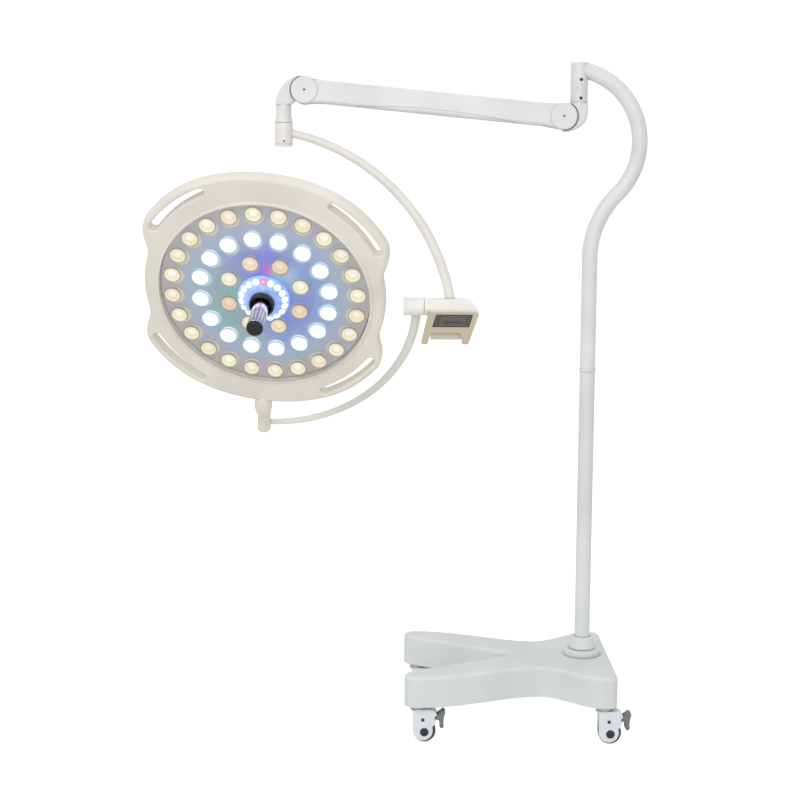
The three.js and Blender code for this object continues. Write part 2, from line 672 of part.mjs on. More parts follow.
function addYoke() {
  const [z0, z1] = FRONT_SLEEVE_Z;
  const sleeve = turned([
    [0, z0], [22, z0], [22, z0 + 5], [FRONT_SLEEVE_R, z0 + 5.5], [FRONT_SLEEVE_R, z1], [0, z1],
  ]).subtract(rod(SPINDLE_R + GAP, z0 + 14, z1 + 5)).translate([YOKE_X, 0, 0]);
  addPart('yoke_sleeve', sleeve, warmWhite);

  const a = UPPER_ARC;
  const tube = arcTube(a.x, a.z, a.r, a.from - 2, a.to + 1, a.tube[0], a.tube[1], 20)
    .subtract(rod(FRONT_SLEEVE_R + GAP, z0 - 40, z0 + 100).translate([YOKE_X, 0, 0]))
    .subtract(block(-600, -200, -60, 60, 1000, BOX_TOP + GAP))
    .subtract(block(-960, YOKE_X, -60, 60, 1500, 1800));
  addPart('upper_yoke_tube', tube, warmWhite);

  const y = BOX_HALF_Y;
  const flange = sideRod(HUB_R, BOX_X[0] + GAP, -436, 0, GIMBAL.z, 32);
  const box = slab(boxShape(), y, 5, 4, 1)
    .add(flange)
    .subtract(block(-424, -316, -y + 4, y - 6, 1146, 1176))
    .subtract(block(-424, -316, -y - 5, -y + 5, 1146, 1151))
    .subtract(sideRod(10 + GAP, -500, -426, 0, GIMBAL.z, 24));
  addPart('control_box', box, warmWhite);
  addPart('control_board', block(-420, -320, y - 14, y - 11, 1148, 1174), blackPlastic);
  const shaft = sideRod(10, HUB_X[0] + 8, -426, 0, GIMBAL.z, 24);
  addPart('gimbal_shaft', shaft, steel);

  // the frame stands in front of the box and leans back a little
  const lean = (solid) => solid.translate([0, 0, -1150]).rotate([-8, 0, 0]).translate([0, -y - 9, 1150]);
  const screen = new THREE.Shape();
  screen.moveTo(-419, 1148);
  screen.lineTo(-319, 1148);
  screen.lineTo(-329, 1114);
  screen.lineTo(-430, 1114);
  const frame = slab(frameShape(), 8, 2, 4, 1)
    .subtract(slab(screen, 5, 0).translate([0, -7, 0]));
  const boxSpace = block(-470, -290, -y - GAP, y + 20, 1139, 1200);
  addPart('display_frame', lean(frame).subtract(boxSpace), warmWhite);
  const glass = slab(screen, 2, 0)
    .translate([374.5, 0, -1131]).scale([0.99, 1, 0.97]).translate([-374.5, -5, 1131]);
  addPart('touch_panel', lean(glass), screenBlack);

  // loop grip behind the frame: two legs down from the box and a bar between them
  const legs = block(-434, -422, -14, 6, 1078, 1140 - GAP)
    .add(block(-352, -340, -14, 6, 1078, 1140 - GAP))
    .add(block(-434, -340, -14, 6, 1078, 1096));
  addPart('grip_loop', legs, warmWhite);
}

const D_DOWN = new THREE.Vector3(0, Math.sin(LOWER_TILT), -Math.cos(LOWER_TILT));
const X_AXIS = new THREE.Vector3(1, 0, 0);
const ARC_NORMAL = new THREE.Vector3().crossVectors(D_DOWN, X_AXIS);

function gimbalPoint(deg, r) {
  const a = THREE.MathUtils.degToRad(deg);
  return GIMBAL.clone()
    .addScaledVector(X_AXIS, r * Math.cos(a))
    .addScaledVector(D_DOWN, r * Math.sin(a));
}

// axis of the lower knuckle, from the gimbal centre downwards
const HEAD_AXIS = gimbalPoint(LOWER_ARC.sweep, 1).sub(GIMBAL).normalize();

function headFrame(turn) {
  const up = HEAD_AXIS.clone().negate();
  let front = ARC_NORMAL.clone();
  if (front.y > 0) front.negate();
  front.applyAxisAngle(up, turn);
  const right = new THREE.Vector3().crossVectors(up, front).normalize();
  return new THREE.Matrix4().makeBasis(right, up, front).setPosition(GIMBAL);
}

const arcFrame = headFrame(0);
const headMatrix = headFrame(HEAD_TURN);

function addLowerYoke() {
  const hub = sideRod(HUB_R, HUB_X[0], HUB_X[1], 0, GIMBAL.z, 32)
    .subtract(sideRod(10 + GAP, HUB_X[0] + 6, HUB_X[1] + 5, 0, GIMBAL.z, 24));
  addPart('gimbal_hub', hub, warmWhite);

  const { r, sweep: end, tube } = LOWER_ARC;
  const bar = sweep(
    (t) => gimbalPoint(end * t, r),
    (t) => gimbalPoint(end * t + 90, 1).sub(GIMBAL),
    (t) => tube[0] + (tube[1] - tube[0]) * t,
    ARC_NORMAL.clone().normalize(), 20, 14,
  );
  const toWorld = (solid, m) => solid.transform(m.elements);
  const hubSpace = sideRod(HUB_R + GAP, HUB_X[0] - 10, HUB_X[1] + 10, 0, GIMBAL.z, 32);
  const tubeSolid = bar.subtract(hubSpace).subtract(toWorld(knuckleBlank(GAP), arcFrame));
  addPart('lower_yoke_tube', tubeSolid, warmWhite);

  const knuckle = knuckleBlank(0).subtract(barY(10 + GAP, -432, -390, 0, 0));
  addPart('head_knuckle', knuckle, warmWhite, arcFrame);
}

// round bar along the head frame's Y axis
function barY(r, y0, y1, x, z, segments = 24) {
  return rod(r, y0, y1, segments).rotate([-90, 0, 0]).translate([x, 0, z]);
}

function knuckleBlank(extra) {
  return barY(KNUCKLE_R + extra, -441 - extra, -401 + extra, 0, 0, 28);
}

// ---------------------------------------------------------------- lamp head

// outline of the rim: wide arcs above and below, narrower sides, S-shaped shoulders between
function rimRadius(angle) {
  const fromSide = Math.acos(Math.abs(Math.cos(angle)));
  const deg = THREE.MathUtils.radToDeg(fromSide);
  const rise = THREE.MathUtils.smoothstep(deg, 17, 29);
  const wide = THREE.MathUtils.lerp(RIM_CORNER, RIM_TOP, THREE.MathUtils.smoothstep(deg, 45, 90));
  return THREE.MathUtils.lerp(RIM_SIDE, wide, rise);
}

// curved slot between two angles in degrees, with round ends
function slotShape(from, to) {
  const a = THREE.MathUtils.degToRad(from);
  const b = THREE.MathUtils.degToRad(to);
  const { r, half } = SLOT;
  const points = [];
  const arc = (cx, cy, radius, start, end, steps) => {
    for (let i = 0; i <= steps; i += 1) {
      const t = start + ((end - start) * i) / steps;
      points.push(new THREE.Vector2(cx + radius * Math.cos(t), cy + radius * Math.sin(t)));
    }
  };
  arc(0, 0, r + half, a, b, 5);
  arc(r * Math.cos(b), r * Math.sin(b), half, b + 0.6, b + Math.PI - 0.6, 2);
  arc(0, 0, r - half, b, a, 5);
  arc(r * Math.cos(a), r * Math.sin(a), half, a + Math.PI + 0.6, a + 2 * Math.PI - 0.6, 2);
  return new THREE.Shape(points);
}

function rimShape() {
  const points = [];
  const count = 60;
  for (let i = 0; i < count; i += 1) {
    const a = (2 * Math.PI * i) / count;
    const r = rimRadius(a);
    points.push(new THREE.Vector2(r * Math.cos(a), r * Math.sin(a)));
  }
  return new THREE.Shape(points);
}

// egg-shaped foot of the head, over the bottom of the rim
function eggBlank(extra) {
  const g = new THREE.SphereGeometry(1, 16, 10);
  g.scale(25 + extra, 47 + extra, 24 + extra);
  g.translate(0, -334, 18);
  return toSolid(g);
}

function addHead() {
  const up = (solid) => solid.translate([0, HEAD_UP, 0]);
  const egg = eggBlank(0)
    .add(barY(KNUCKLE_R, -400.6, -350, 0, 0, 28))
    .add(barY(10, -430, -360, 0, 0));
  const eggSpace = eggBlank(GAP).add(barY(KNUCKLE_R + GAP, -401, -300, 0, 0, 28));

  let body = plate(rimShape(), RIM_Z[0], RIM_Z[1], 9, 1, 1)
    .subtract(rod(WINDOW_R + GAP, RIM_Z[0] - 5, RIM_Z[1] + 5, 40));
  for (const quarter of [0, 90, 180, 270]) {
    const [from, to] = quarter % 180 ? [90 - SLOT.to, 90 - SLOT.from] : [SLOT.from, SLOT.to];
    body = body.subtract(plate(slotShape(quarter + from, quarter + to), RIM_Z[0] - 5, RIM_Z[1] + 5));
  }
  const lip = turned([
    [WINDOW_R + GAP, 20], [WINDOW_R + 9, 20], [WINDOW_R + 9, 36], [WINDOW_R + 6, 41],
    [WINDOW_R + 2, 41], [WINDOW_R + GAP, 38], [WINDOW_R + GAP, 20],
  ], 40);
  const groove = turned([[296, -20], [309, -20], [309, 24], [296, 24], [296, -20]], 28);
  const rim = up(body.add(lip).subtract(groove)).subtract(eggSpace);
  addPart('head_rim', rim, warmWhite, headMatrix);

  // dished back cover, hollow and open towards the window
  const skin = 3;
  const seam = RIM_Z[0] - GAP;
  const dish = [[0, -62], [90, -61], [190, -56], [262, -46], [300, -32], [316, -16], [318, seam]];
  const inside = [[310, seam], [308, -14], [293, -28], [258, -42], [188, -52], [90, -57.5], [0, -58.5]];
  const back = turned(dish.concat(inside), 28);
  addPart('back_cover', up(back), warmWhite, headMatrix);

  const windowPane = turned([
    [52, WINDOW_Z - skin], [WINDOW_R, WINDOW_Z - skin], [WINDOW_R, WINDOW_Z], [52, WINDOW_Z],
    [52, WINDOW_Z - skin],
  ], 40);
  addPart('window_pane', up(windowPane), glassClear, headMatrix);

  const lenses = [];
  for (const ring of LED_RINGS) {
    for (let i = 0; i < ring.count; i += 1) {
      const a = THREE.MathUtils.degToRad(ring.phase + (360 * i) / ring.count);
      const lens = turned([[0, 17], [LENS_R - 2, 17], [LENS_R, 30], [0, 30]], 6);
      lenses.push(lens.translate([ring.r * Math.cos(a), ring.r * Math.sin(a), 0]));
    }
  }
  const carrier = turned([
    [54, 14], [WINDOW_R - 2, 14], [WINDOW_R - 2, 18], [54, 18], [54, 14],
  ], 40);
  addPart('lens_array', up(wasm.Manifold.union([carrier, ...lenses])), lensClear, headMatrix);

  const fins = [];
  for (let i = 0; i < 7; i += 1) {
    const x = -150 + i * 50;
    fins.push(block(x - 1.5, x + 1.5, -150, 150, -30, 10));
  }
  const board = turned([[0, 9.5], [WINDOW_R - 2, 9.5], [WINDOW_R - 2, 13.6], [0, 13.6]], 40);
  addPart('led_heat_sink', up(wasm.Manifold.union([board, ...fins])), heatSinkGrey, headMatrix);

  const centre = turned([
    [0, 13.9], [51.5, 13.9], [51.5, WINDOW_Z + 0.4], [72, WINDOW_Z + 0.4], [70, WINDOW_Z + 8],
    [46, WINDOW_Z + 22], [0, WINDOW_Z + 22],
  ], 28);
  addPart('centre_light_ring', up(centre), glassClear, headMatrix);

  const socketZ = WINDOW_Z + 22 + GAP;
  const socketTop = WINDOW_Z + 43;
  const socket = turned([
    [0, socketZ], [SOCKET_R - 4, socketZ], [SOCKET_R, socketZ + 5], [SOCKET_R, socketTop - 3],
    [SOCKET_R - 3, socketTop], [GRIP_R + 1, socketTop], [GRIP_R + 1, socketZ + 8], [0, socketZ + 8],
  ], 24);
  addPart('handle_socket', up(socket), blackPlastic, headMatrix);

  const gripTop = WINDOW_Z + 138;
  const grip = turned([
    [0, socketZ + 8.3], [GRIP_R - 1, socketZ + 8.3], [GRIP_R - 1, socketTop + 4], [GRIP_R, socketTop + 6],
    [GRIP_R, gripTop], [0, gripTop],
  ], 24);
  addPart('handle_grip', up(grip), chrome, headMatrix);
  const cap = turned([
    [0, gripTop + GAP], [GRIP_R + 0.5, gripTop + GAP], [GRIP_R + 0.5, gripTop + 9],
    [GRIP_R - 4, gripTop + 13], [0, gripTop + 13],
  ], 24);
  addPart('handle_cap', up(cap), blackPlastic, headMatrix);
  addPart('head_foot', egg, warmWhite, headMatrix);
}

addBase();
for (const caster of CASTERS) addCaster(caster);
addMast();
addArm();
addRearElbow();
addFrontElbow();
addYoke();
addLowerYoke();
addHead();

// the finished model stands on the floor with its box centred over the origin
const bounds = new THREE.Box3().setFromObject(group);
const middle = bounds.getCenter(new THREE.Vector3());
group.position.set(-middle.x, -middle.y, -bounds.min.z);
group.updateMatrixWorld(true);

export default group;
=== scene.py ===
import math
from math import cos, pi, radians, sin

import bmesh
import bpy
from mathutils import Matrix, Vector


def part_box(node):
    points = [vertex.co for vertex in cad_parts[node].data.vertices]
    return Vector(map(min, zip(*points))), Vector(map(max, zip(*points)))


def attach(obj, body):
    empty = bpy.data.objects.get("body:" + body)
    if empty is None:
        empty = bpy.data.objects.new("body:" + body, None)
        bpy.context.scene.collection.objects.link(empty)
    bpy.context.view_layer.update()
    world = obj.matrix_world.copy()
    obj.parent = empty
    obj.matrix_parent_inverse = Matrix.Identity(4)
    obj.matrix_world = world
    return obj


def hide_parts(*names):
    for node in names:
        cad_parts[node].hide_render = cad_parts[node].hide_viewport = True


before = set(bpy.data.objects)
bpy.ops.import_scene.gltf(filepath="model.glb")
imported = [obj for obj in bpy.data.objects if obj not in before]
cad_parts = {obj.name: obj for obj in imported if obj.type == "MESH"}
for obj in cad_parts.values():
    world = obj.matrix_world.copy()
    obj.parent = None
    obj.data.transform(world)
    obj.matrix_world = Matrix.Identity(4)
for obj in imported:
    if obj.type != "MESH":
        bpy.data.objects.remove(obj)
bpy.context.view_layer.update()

# Mobile surgical light. Pieces are drawn in millimetres in the mast's frame (mast on the Z axis, spring
# arm along -X) or in the frame of the arm or the lamp head, and then placed in the shared frame in metres.

MM = 0.001
MERGE = 1e-4


# ------------------------------------------------------------------ driving dimensions (mm, degrees)

BASE = dict(tip=-500, end=75, tip_half=228, end_half=230, waist=-130, waist_half=128, notch=-189,
            notch_half=176, low=104, high=190, corner=34, edge=11, wall=4)
CASTERS = dict(front_near=(-462, -188), front_far=(-462, 188), rear_near=(40, -198), rear_far=(40, 198))
TRAIL = 16
WHEEL_R = 31
WHEEL_HALF = 12
HOOD_X, HOOD_Z, HOOD_R = 12, 34, 27
FORK_HALF = 21
FORK_GAP = 13
PEDAL_HALF = 16
PLATE_Z = 93
COLUMN_R = 21
COLUMN_BORE = 18
BEND = dict(centre=(-66, 1615), radius=195, start=-45, end=80)
RING_Z = 996
RING_HALF = 4.5
SLEEVE_X = -38
SLEEVE_R = 23
SLEEVE_Z = (1721, 1826)
SPINDLE_R = 12
PIN_HOLE = 8.3
REAR_PIVOT = Vector((-80, 0, 1683))
ARM_LENGTH = 700
ARM_RISE = 5.4
ARM_HALF_H = 30
ARM_HALF_W = 31
DISC_R = 37
DISC_SWEEP = 2.6
CHEEK = 16
TONGUE = 9
TONGUE_R = 34
LINK_STUD_R, LINK_RISE = 4, 16
ARM_WALL = 5
YOKE_X = -834
FRONT_SLEEVE_Z = (1600, 1661.5)
UPPER_ARC = dict(centre=(-926, 1092), radius=554, start=9, end=81)
UPPER_TUBE_R = (10.5, 14)
TUBE_STEPS = 80
GIMBAL = Vector((-885, 0, 1168))
SHAFT_HOLE = 10.3
LOWER_ARC_R = 413
LOWER_SWEEP = 93.6
LOWER_TILT = 31.4
LOWER_TUBE_R = (13, 8)
BOX_Z = (1140, 1190)
KNUCKLE_R = 19
KNUCKLE_Y = (-441, -401)
HEAD_TURN = -5.7
HEAD_UP = 54
HUB_R = 24.7
EGG = dict(size=(25, 47, 24), centre=(0, -334, 18))
RIM_SIDE, RIM_CORNER, RIM_TOP = 330, 380, 367
RIM_Z = (-4, 34)
SLOT_R, SLOT_HALF = 349, 12
WINDOW_R = 288
WINDOW_Z = 38
LENS_R = 24
LENS_TOP = 30
PLATE_SEAT = (14, 18)
LED_RINGS = dict(outer=(24, 255, 7.5), middle=(16, 179, 11.25), inner=(8, 105, 22.5))
SMALL_RING = dict(count=18, radius=60, lens=10.2, tilt=30)
GAP = 0.3

# camera: lens in mm, place from the mast's foot in metres, angles in degrees
CAMERA = dict(lens=69.79, place=(-0.5162, -4.2505, 1.4668), down=7.475, roll=0.296)


# ------------------------------------------------------------------ frames

def shift(x=0, y=0, z=0):
    """A move, in the units of what it is applied to."""
    return Matrix.Translation((x, y, z))


ACROSS = Vector((0, 1, 0))
TO_X = Matrix.Rotation(radians(90), 4, "Y")
TO_Y = Matrix.Rotation(radians(-90), 4, "X")
TO_MINUS_Y = Matrix.Rotation(radians(90), 4, "X")

column_low, column_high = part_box("column_lower")
mast_spot = (column_low + column_high) / 2
MAST = shift(mast_spot.x, mast_spot.y) @ Matrix.Scale(MM, 4)
ARM_LOCAL = Matrix.Translation(REAR_PIVOT) @ Matrix.Rotation(radians(ARM_RISE), 4, "Y")
ARM = MAST @ ARM_LOCAL
FRONT_PIVOT = ARM_LOCAL @ Vector((-ARM_LENGTH, 0, 0))

down = Vector((0, sin(radians(LOWER_TILT)), -cos(radians(LOWER_TILT))))
arc_normal = down.cross(Vector((1, 0, 0)))


def gimbal_point(angle, radius):
    a = radians(angle)
    return GIMBAL + Vector((1, 0, 0)) * (radius * cos(a)) + down * (radius * sin(a))


def head_frame(turn):
    """Frame at the gimbal: Y along the head's axle, Z out of the lamp's face, turned about the axle."""
    up = (GIMBAL - gimbal_point(LOWER_SWEEP, 1)).normalized()
    front = arc_normal if arc_normal.y < 0 else -arc_normal
    front = Matrix.Rotation(radians(turn), 3, up) @ front
    right = up.cross(front).normalized()
    basis = Matrix((right, up, front)).transposed().to_4x4()
    return MAST @ Matrix.Translation(GIMBAL) @ basis


KNUCKLE = head_frame(0)
HEAD = head_frame(HEAD_TURN)
LAMP = HEAD @ shift(0, HEAD_UP)


# ------------------------------------------------------------------ outlines

def arc(cx, cy, radius, start, end, steps=16):
    """Points on a circle between two angles in degrees."""
    found = []
    for i in range(steps + 1):
        a = radians(start + (end - start) * i / steps)
        found.append((cx + radius * cos(a), cy + radius * sin(a)))
    return found


def curve(p0, p1, p2, p3=None, steps=12):
    """Points on a quadratic or cubic curve, without its first point."""
    found = []
    for i in range(1, steps + 1):
        t = i / steps
        u = 1 - t
        if p3 is None:
            weights = ((u * u, p0), (2 * u * t, p1), (t * t, p2))
        else:
            weights = ((u ** 3, p0), (3 * u * u * t, p1), (3 * u * t * t, p2), (t ** 3, p3))
        found.append((sum(w * p[0] for w, p in weights), sum(w * p[1] for w, p in weights)))
    return found


def rounded(corners, steps=6):
    """Closed outline from corners (x, y, radius) with an arc-like curve at each."""
    found = []
    count = len(corners)
    for i, (x, y, radius) in enumerate(corners):
        here = Vector((x, y))
        before = Vector(corners[i - 1][:2]) - here
        after = Vector(corners[(i + 1) % count][:2]) - here
        reach = min(radius, before.length * 0.49, after.length * 0.49)
        if reach <= 0:
            found.append((x, y))
            continue
        start = here + before.normalized() * reach
        end = here + after.normalized() * reach
        found.append(tuple(start))
        found += curve(start, here, end, steps=steps)
    return found


def soften(profile, radius, steps=4):
    """Turned profile of (radius, z) points with its inner corners rounded."""
    found = [profile[0]]
    for i in range(1, len(profile) - 1):
        here = Vector(profile[i])
        before = Vector(profile[i - 1]) - here
        after = Vector(profile[i + 1]) - here
        reach = min(radius, before.length * 0.45, after.length * 0.45)
        start = here + before.normalized() * reach
        end = here + after.normalized() * reach
        found.append(tuple(start))
        found += curve(start, here, end, steps=steps)
    found.append(profile[-1])
    return found


# ------------------------------------------------------------------ solids (each a new object, in mm)

def link(obj):
    bpy.context.scene.collection.objects.link(obj)
    return obj


def linked(bm):
    """A mesh under construction as a new object, with its faces turned outwards."""
    bmesh.ops.recalc_face_normals(bm, faces=bm.faces)
    mesh = bpy.data.meshes.new("work")
    bm.to_mesh(mesh)
    bm.free()
    return link(bpy.data.objects.new("work", mesh))


def made(bm):
    bmesh.ops.remove_doubles(bm, verts=bm.verts, dist=MERGE)
    return linked(bm)


def skin(bm, rings):
    """Faces between closed rings of the same count, and over both ends."""
    count = len(rings[0])
    for one, two in zip(rings, rings[1:]):
        for i in range(count):
            k = (i + 1) % count
            bm.faces.new((one[i], one[k], two[k], two[i]))
    bm.faces.new(rings[0])
    bm.faces.new(rings[-1])
    return made(bm)


def turned(profile, segments=72, bm=None, matrix=None):
    """Turned part about the Z axis. The profile runs from the axis to the axis, or closes on itself."""
    own = bm is None
    bm = bm or bmesh.new()
    rings = []
    for radius, z in profile:
        if radius < 1e-6:
            rings.append([bm.verts.new((0, 0, z))])
            continue
        turn = [2 * pi * i / segments for i in range(segments)]
        rings.append([bm.verts.new((radius * cos(a), radius * sin(a), z)) for a in turn])
    for one, two in zip(rings, rings[1:]):
        for i in range(segments):
            k = (i + 1) % segments
            corners = [one[i % len(one)], one[k % len(one)], two[k % len(two)], two[i % len(two)]]
            unique = list(dict.fromkeys(corners))
            if len(unique) > 2:
                bm.faces.new(unique)
    if matrix is not None:
        bmesh.ops.transform(bm, matrix=matrix, verts=[v for ring in rings for v in ring])
    return made(bm) if own else rings


def rod(radius, z0, z1, edge=0, segments=64):
    """Round bar along Z."""
    profile = [(0, z0), (radius, z0), (radius, z1), (0, z1)]
    return turned(soften(profile, edge) if edge else profile, segments)


def placed(obj, *matrices):
    """The object, with its mesh moved by each matrix in turn."""
    for matrix in matrices:
        obj.data.transform(matrix)
    return obj


def cross_rod(radius, y0, y1, x, z, edge=0, segments=48):
    """Round bar along Y."""
    bar = rod(radius, y0, y1, edge, segments)
    return placed(bar, TO_Y, shift(x, 0, z))


def side_rod(radius, x0, x1, y, z, edge=0, segments=64):
    """Round bar along X."""
    bar = rod(radius, x0, x1, edge, segments)
    return placed(bar, TO_X, shift(0, y, z))


def bar_y(radius, y0, y1, edge=0):
    """Round bar along the head frame's Y axis."""
    return placed(rod(radius, y0, y1, edge, 64), TO_Y)


def offset(points, distance):
    """A closed outline moved outwards by a distance, each side staying parallel to itself."""
    count = len(points)
    area = sum(points[i - 1][0] * points[i][1] - points[i][0] * points[i - 1][1] for i in range(count))
    sign = 1 if area > 0 else -1
    moved = []
    for i, here in enumerate(points):
        before = (Vector(here) - Vector(points[i - 1])).normalized()
        after = (Vector(points[(i + 1) % count]) - Vector(here)).normalized()
        normal = Vector((before.y + after.y, -before.x - after.x)).normalized() * sign
        reach = distance / max(0.5, normal.dot(Vector((after.y, -after.x)) * sign))
        moved.append((here[0] + normal.x * reach, here[1] + normal.y * reach))
    return moved


def stack(points, levels):
    """Solid through copies of an outline at (z, distance outwards) levels."""
    bm = bmesh.new()
    rings = [[bm.verts.new((x, y, z)) for x, y in offset(points, out)] for z, out in levels]
    return skin(bm, rings)


def edge_levels(z0, z1, low, high, steps=6):
    """Levels for a plate with rounded lower and upper edges."""
    levels = []
    for i in range(steps + 1):
        a = pi / 2 * i / steps
        if low:
            levels.append((z0 + low * (1 - sin(a)), -low * (1 - cos(a))))
    levels = sorted(levels) if low else [(z0, 0)]
    if not high:
        return levels + [(z1, 0)]
    for i in range(steps + 1):
        a = pi / 2 * i / steps
        levels.append((z1 - high * (1 - sin(a)), -high * (1 - cos(a))))
    return levels


def plate(points, z0, z1, low=0, high=0, steps=6):
    return stack(points, edge_levels(z0, z1, low, high, steps))


def slab(points, half, edge=0, steps=5):
    """Outline in the XZ plane, given thickness in Y."""
    return placed(plate(points, -half, half, edge, edge, steps), TO_MINUS_Y)


def block(x0, x1, y0, y1, z0, z1, edge=0):
    corners = [(x0, y0, 2 * edge), (x1, y0, 2 * edge), (x1, y1, 2 * edge), (x0, y1, 2 * edge)]
    return plate(rounded(corners), z0, z1, edge, edge, 3)


def in_plane(points):
    """Points (x, z) as places in the plane that the mast and the arm share."""
    return [Vector((x, 0, z)) for x, z in points]


def swept(centres, radii, across, sides):
    """Round tube along a plane path; across is the direction square to that plane."""
    bm = bmesh.new()
    rings = []
    count = len(centres)
    for i, centre in enumerate(centres):
        along = centres[min(i + 1, count - 1)] - centres[max(i - 1, 0)]
        side = across.cross(along).normalized()
        turn = [2 * pi * j / sides for j in range(sides)]
        rings.append([bm.verts.new(centre + (side * cos(a) + across * sin(a)) * radii[i])
                      for a in turn])
    return skin(bm, rings)


def combine(target, tool, operation):
    """Boolean of two solids. The result is cleaned and split into triangles, so a further one holds."""
    modifier = target.modifiers.new("combine", "BOOLEAN")
    modifier.operation = operation
    modifier.object = tool
    modifier.solver = "EXACT"
    bpy.context.view_layer.update()
    graph = bpy.context.evaluated_depsgraph_get()
    mesh = bpy.data.meshes.new_from_object(target.evaluated_get(graph))
    bm = bmesh.new()
    bm.from_mesh(mesh)
    bmesh.ops.remove_doubles(bm, verts=bm.verts, dist=MERGE)
    bmesh.ops.dissolve_degenerate(bm, edges=bm.edges, dist=MERGE)
    bmesh.ops.triangulate(bm, faces=bm.faces)
    bm.to_mesh(mesh)
    bm.free()
    target.modifiers.clear()
    target.data = mesh
    bpy.data.objects.remove(tool)
    return target


def cut(target, *tools):
    for tool in tools:
        combine(target, tool, "DIFFERENCE")
    return target


def join(target, *tools):
    for tool in tools:
        combine(target, tool, "UNION")
    return target


def twin(obj):
    copy = obj.copy()
    copy.data = obj.data.copy()
    return link(copy)


# ------------------------------------------------------------------ materials

def linear(rgb):
    """Scene-linear colour from screen values of 0 to 255."""
    def channel(v):
        v = v / 255
        return v / 12.92 if v <= 0.04045 else ((v + 0.055) / 1.055) ** 2.4
    return (*[channel(v) for v in rgb], 1.0)


class Nodes:
    """Short forms for building a node tree."""

    def __init__(self, name):
        self.material = bpy.data.materials.new(name)
        self.material.use_nodes = True
        self.tree = self.material.node_tree
        self.shader = self.tree.nodes["Principled BSDF"]

    def add(self, kind, inputs=None, **settings):
        node = self.tree.nodes.new(kind)
        for key, value in settings.items():
            setattr(node, key, value)
        for key, value in (inputs or {}).items():
            self.feed(node.inputs[key], value)
        return node

    def feed(self, socket, value):
        if isinstance(value, bpy.types.NodeSocket):
            self.tree.links.new(value, socket)
        else:
            socket.default_value = value

    def fill(self, name, value):
        """Sets one of the shader's own sockets, or links to it."""
        self.feed(self.shader.inputs[name], value)

    def math(self, operation, one, two=0.0):
        return self.add("ShaderNodeMath", {0: one, 1: two}, operation=operation).outputs[0]

    def plus(self, one, two):
        return self.math("ADD", one, two)

    def minus(self, one, two):
        return self.math("SUBTRACT", one, two)

    def times(self, one, two):
        return self.math("MULTIPLY", one, two)

    def squares(self, x, y):
        return self.plus(self.times(x, x), self.times(y, y))

    def length(self, x, y):
        return self.math("POWER", self.squares(x, y), 0.5)

    def mix(self, factor, one, two, blend="MIX"):
        node = self.add("ShaderNodeMix", {0: factor, 6: one, 7: two}, data_type="RGBA", blend_type=blend)
        return node.outputs[2]

    def span(self, value, from_low, from_high, to_low, to_high, kind="LINEAR"):
        inputs = {0: value, 1: from_low, 2: from_high, 3: to_low, 4: to_high}
        return self.add("ShaderNodeMapRange", inputs, interpolation_type=kind).outputs[0]

    def noise(self, scale, detail=2.0, stretch=None):
        place = self.add("ShaderNodeTexCoord").outputs["Object"]
        if stretch:
            place = self.add("ShaderNodeMapping", {"Vector": place, "Scale": stretch}).outputs[0]
        inputs = {"Vector": place, "Scale": scale, "Detail": detail}
        return self.add("ShaderNodeTexNoise", inputs).outputs["Fac"]

    def ramp(self, value, stops):
        """Colours from 0 to 255 at positions from 0 to 1."""
        node = self.add("ShaderNodeValToRGB", {0: value})
        marks = node.color_ramp.elements
        while len(marks) < len(stops):
            marks.new(0.5)
        for mark, (position, colour) in zip(marks, stops):
            mark.position = position
            mark.color = linear(colour)
        return node.outputs[0]

    def attribute(self, name):
        node = self.add("ShaderNodeAttribute", attribute_name=name)
        return self.add("ShaderNodeSeparateXYZ", {0: node.outputs["Vector"]}).outputs

    def bump(self, height, strength, distance):
        inputs = {"Height": height, "Strength": strength, "Distance": distance}
        self.fill("Normal", self.add("ShaderNodeBump", inputs).outputs[0])


def shade(rgb, factor):
    """A colour made lighter or darker, kept between 0 and 255."""
    return tuple(max(0, min(255, v * factor)) for v in rgb)


def surface(name, rgb, rough, metal=0.0, mottle=0.03, mottle_scale=7, grain=0.15, grain_scale=900,
            grain_depth=0.0002, crease_shade=0.82, stretch=None, coat=0.0, crease=0.012):
    """Painted, moulded or metal finish: clouded tone, painted shade in creases, uneven gloss and a fine
    grain.
    """
    n = Nodes(name)
    cloud = n.noise(mottle_scale, 3.0)
    tone = n.ramp(n.span(cloud, 0.3, 0.7, 0, 1),
                  [(0, shade(rgb, 1 - mottle)), (1, shade(rgb, 1 + mottle))])
    # painted shade: a warm darker tint is laid into the colour where ambient occlusion finds creases and
    # nearby parts
    hollow = n.add("ShaderNodeAmbientOcclusion", {"Distance": crease}).outputs["AO"]
    shaded_tone = n.mix(1.0, tone, linear(shade((255, 250, 240), crease_shade)), "MULTIPLY")
    n.fill("Base Color", n.mix(n.span(hollow, 0.25, 0.95, 0, 1), shaded_tone, tone))
    fine = n.noise(grain_scale, 2.0, stretch)
    spread = n.plus(n.times(cloud, 0.6), n.times(fine, 0.4))
    n.fill("Roughness", n.span(spread, 0.3, 0.7, max(rough - 0.06, 0.02), rough + 0.08))
    n.fill("Metallic", metal)
    n.fill("Coat Weight", coat)
    n.fill("Coat Roughness", 0.15)
    n.bump(fine, grain, grain_depth)
    return n.material


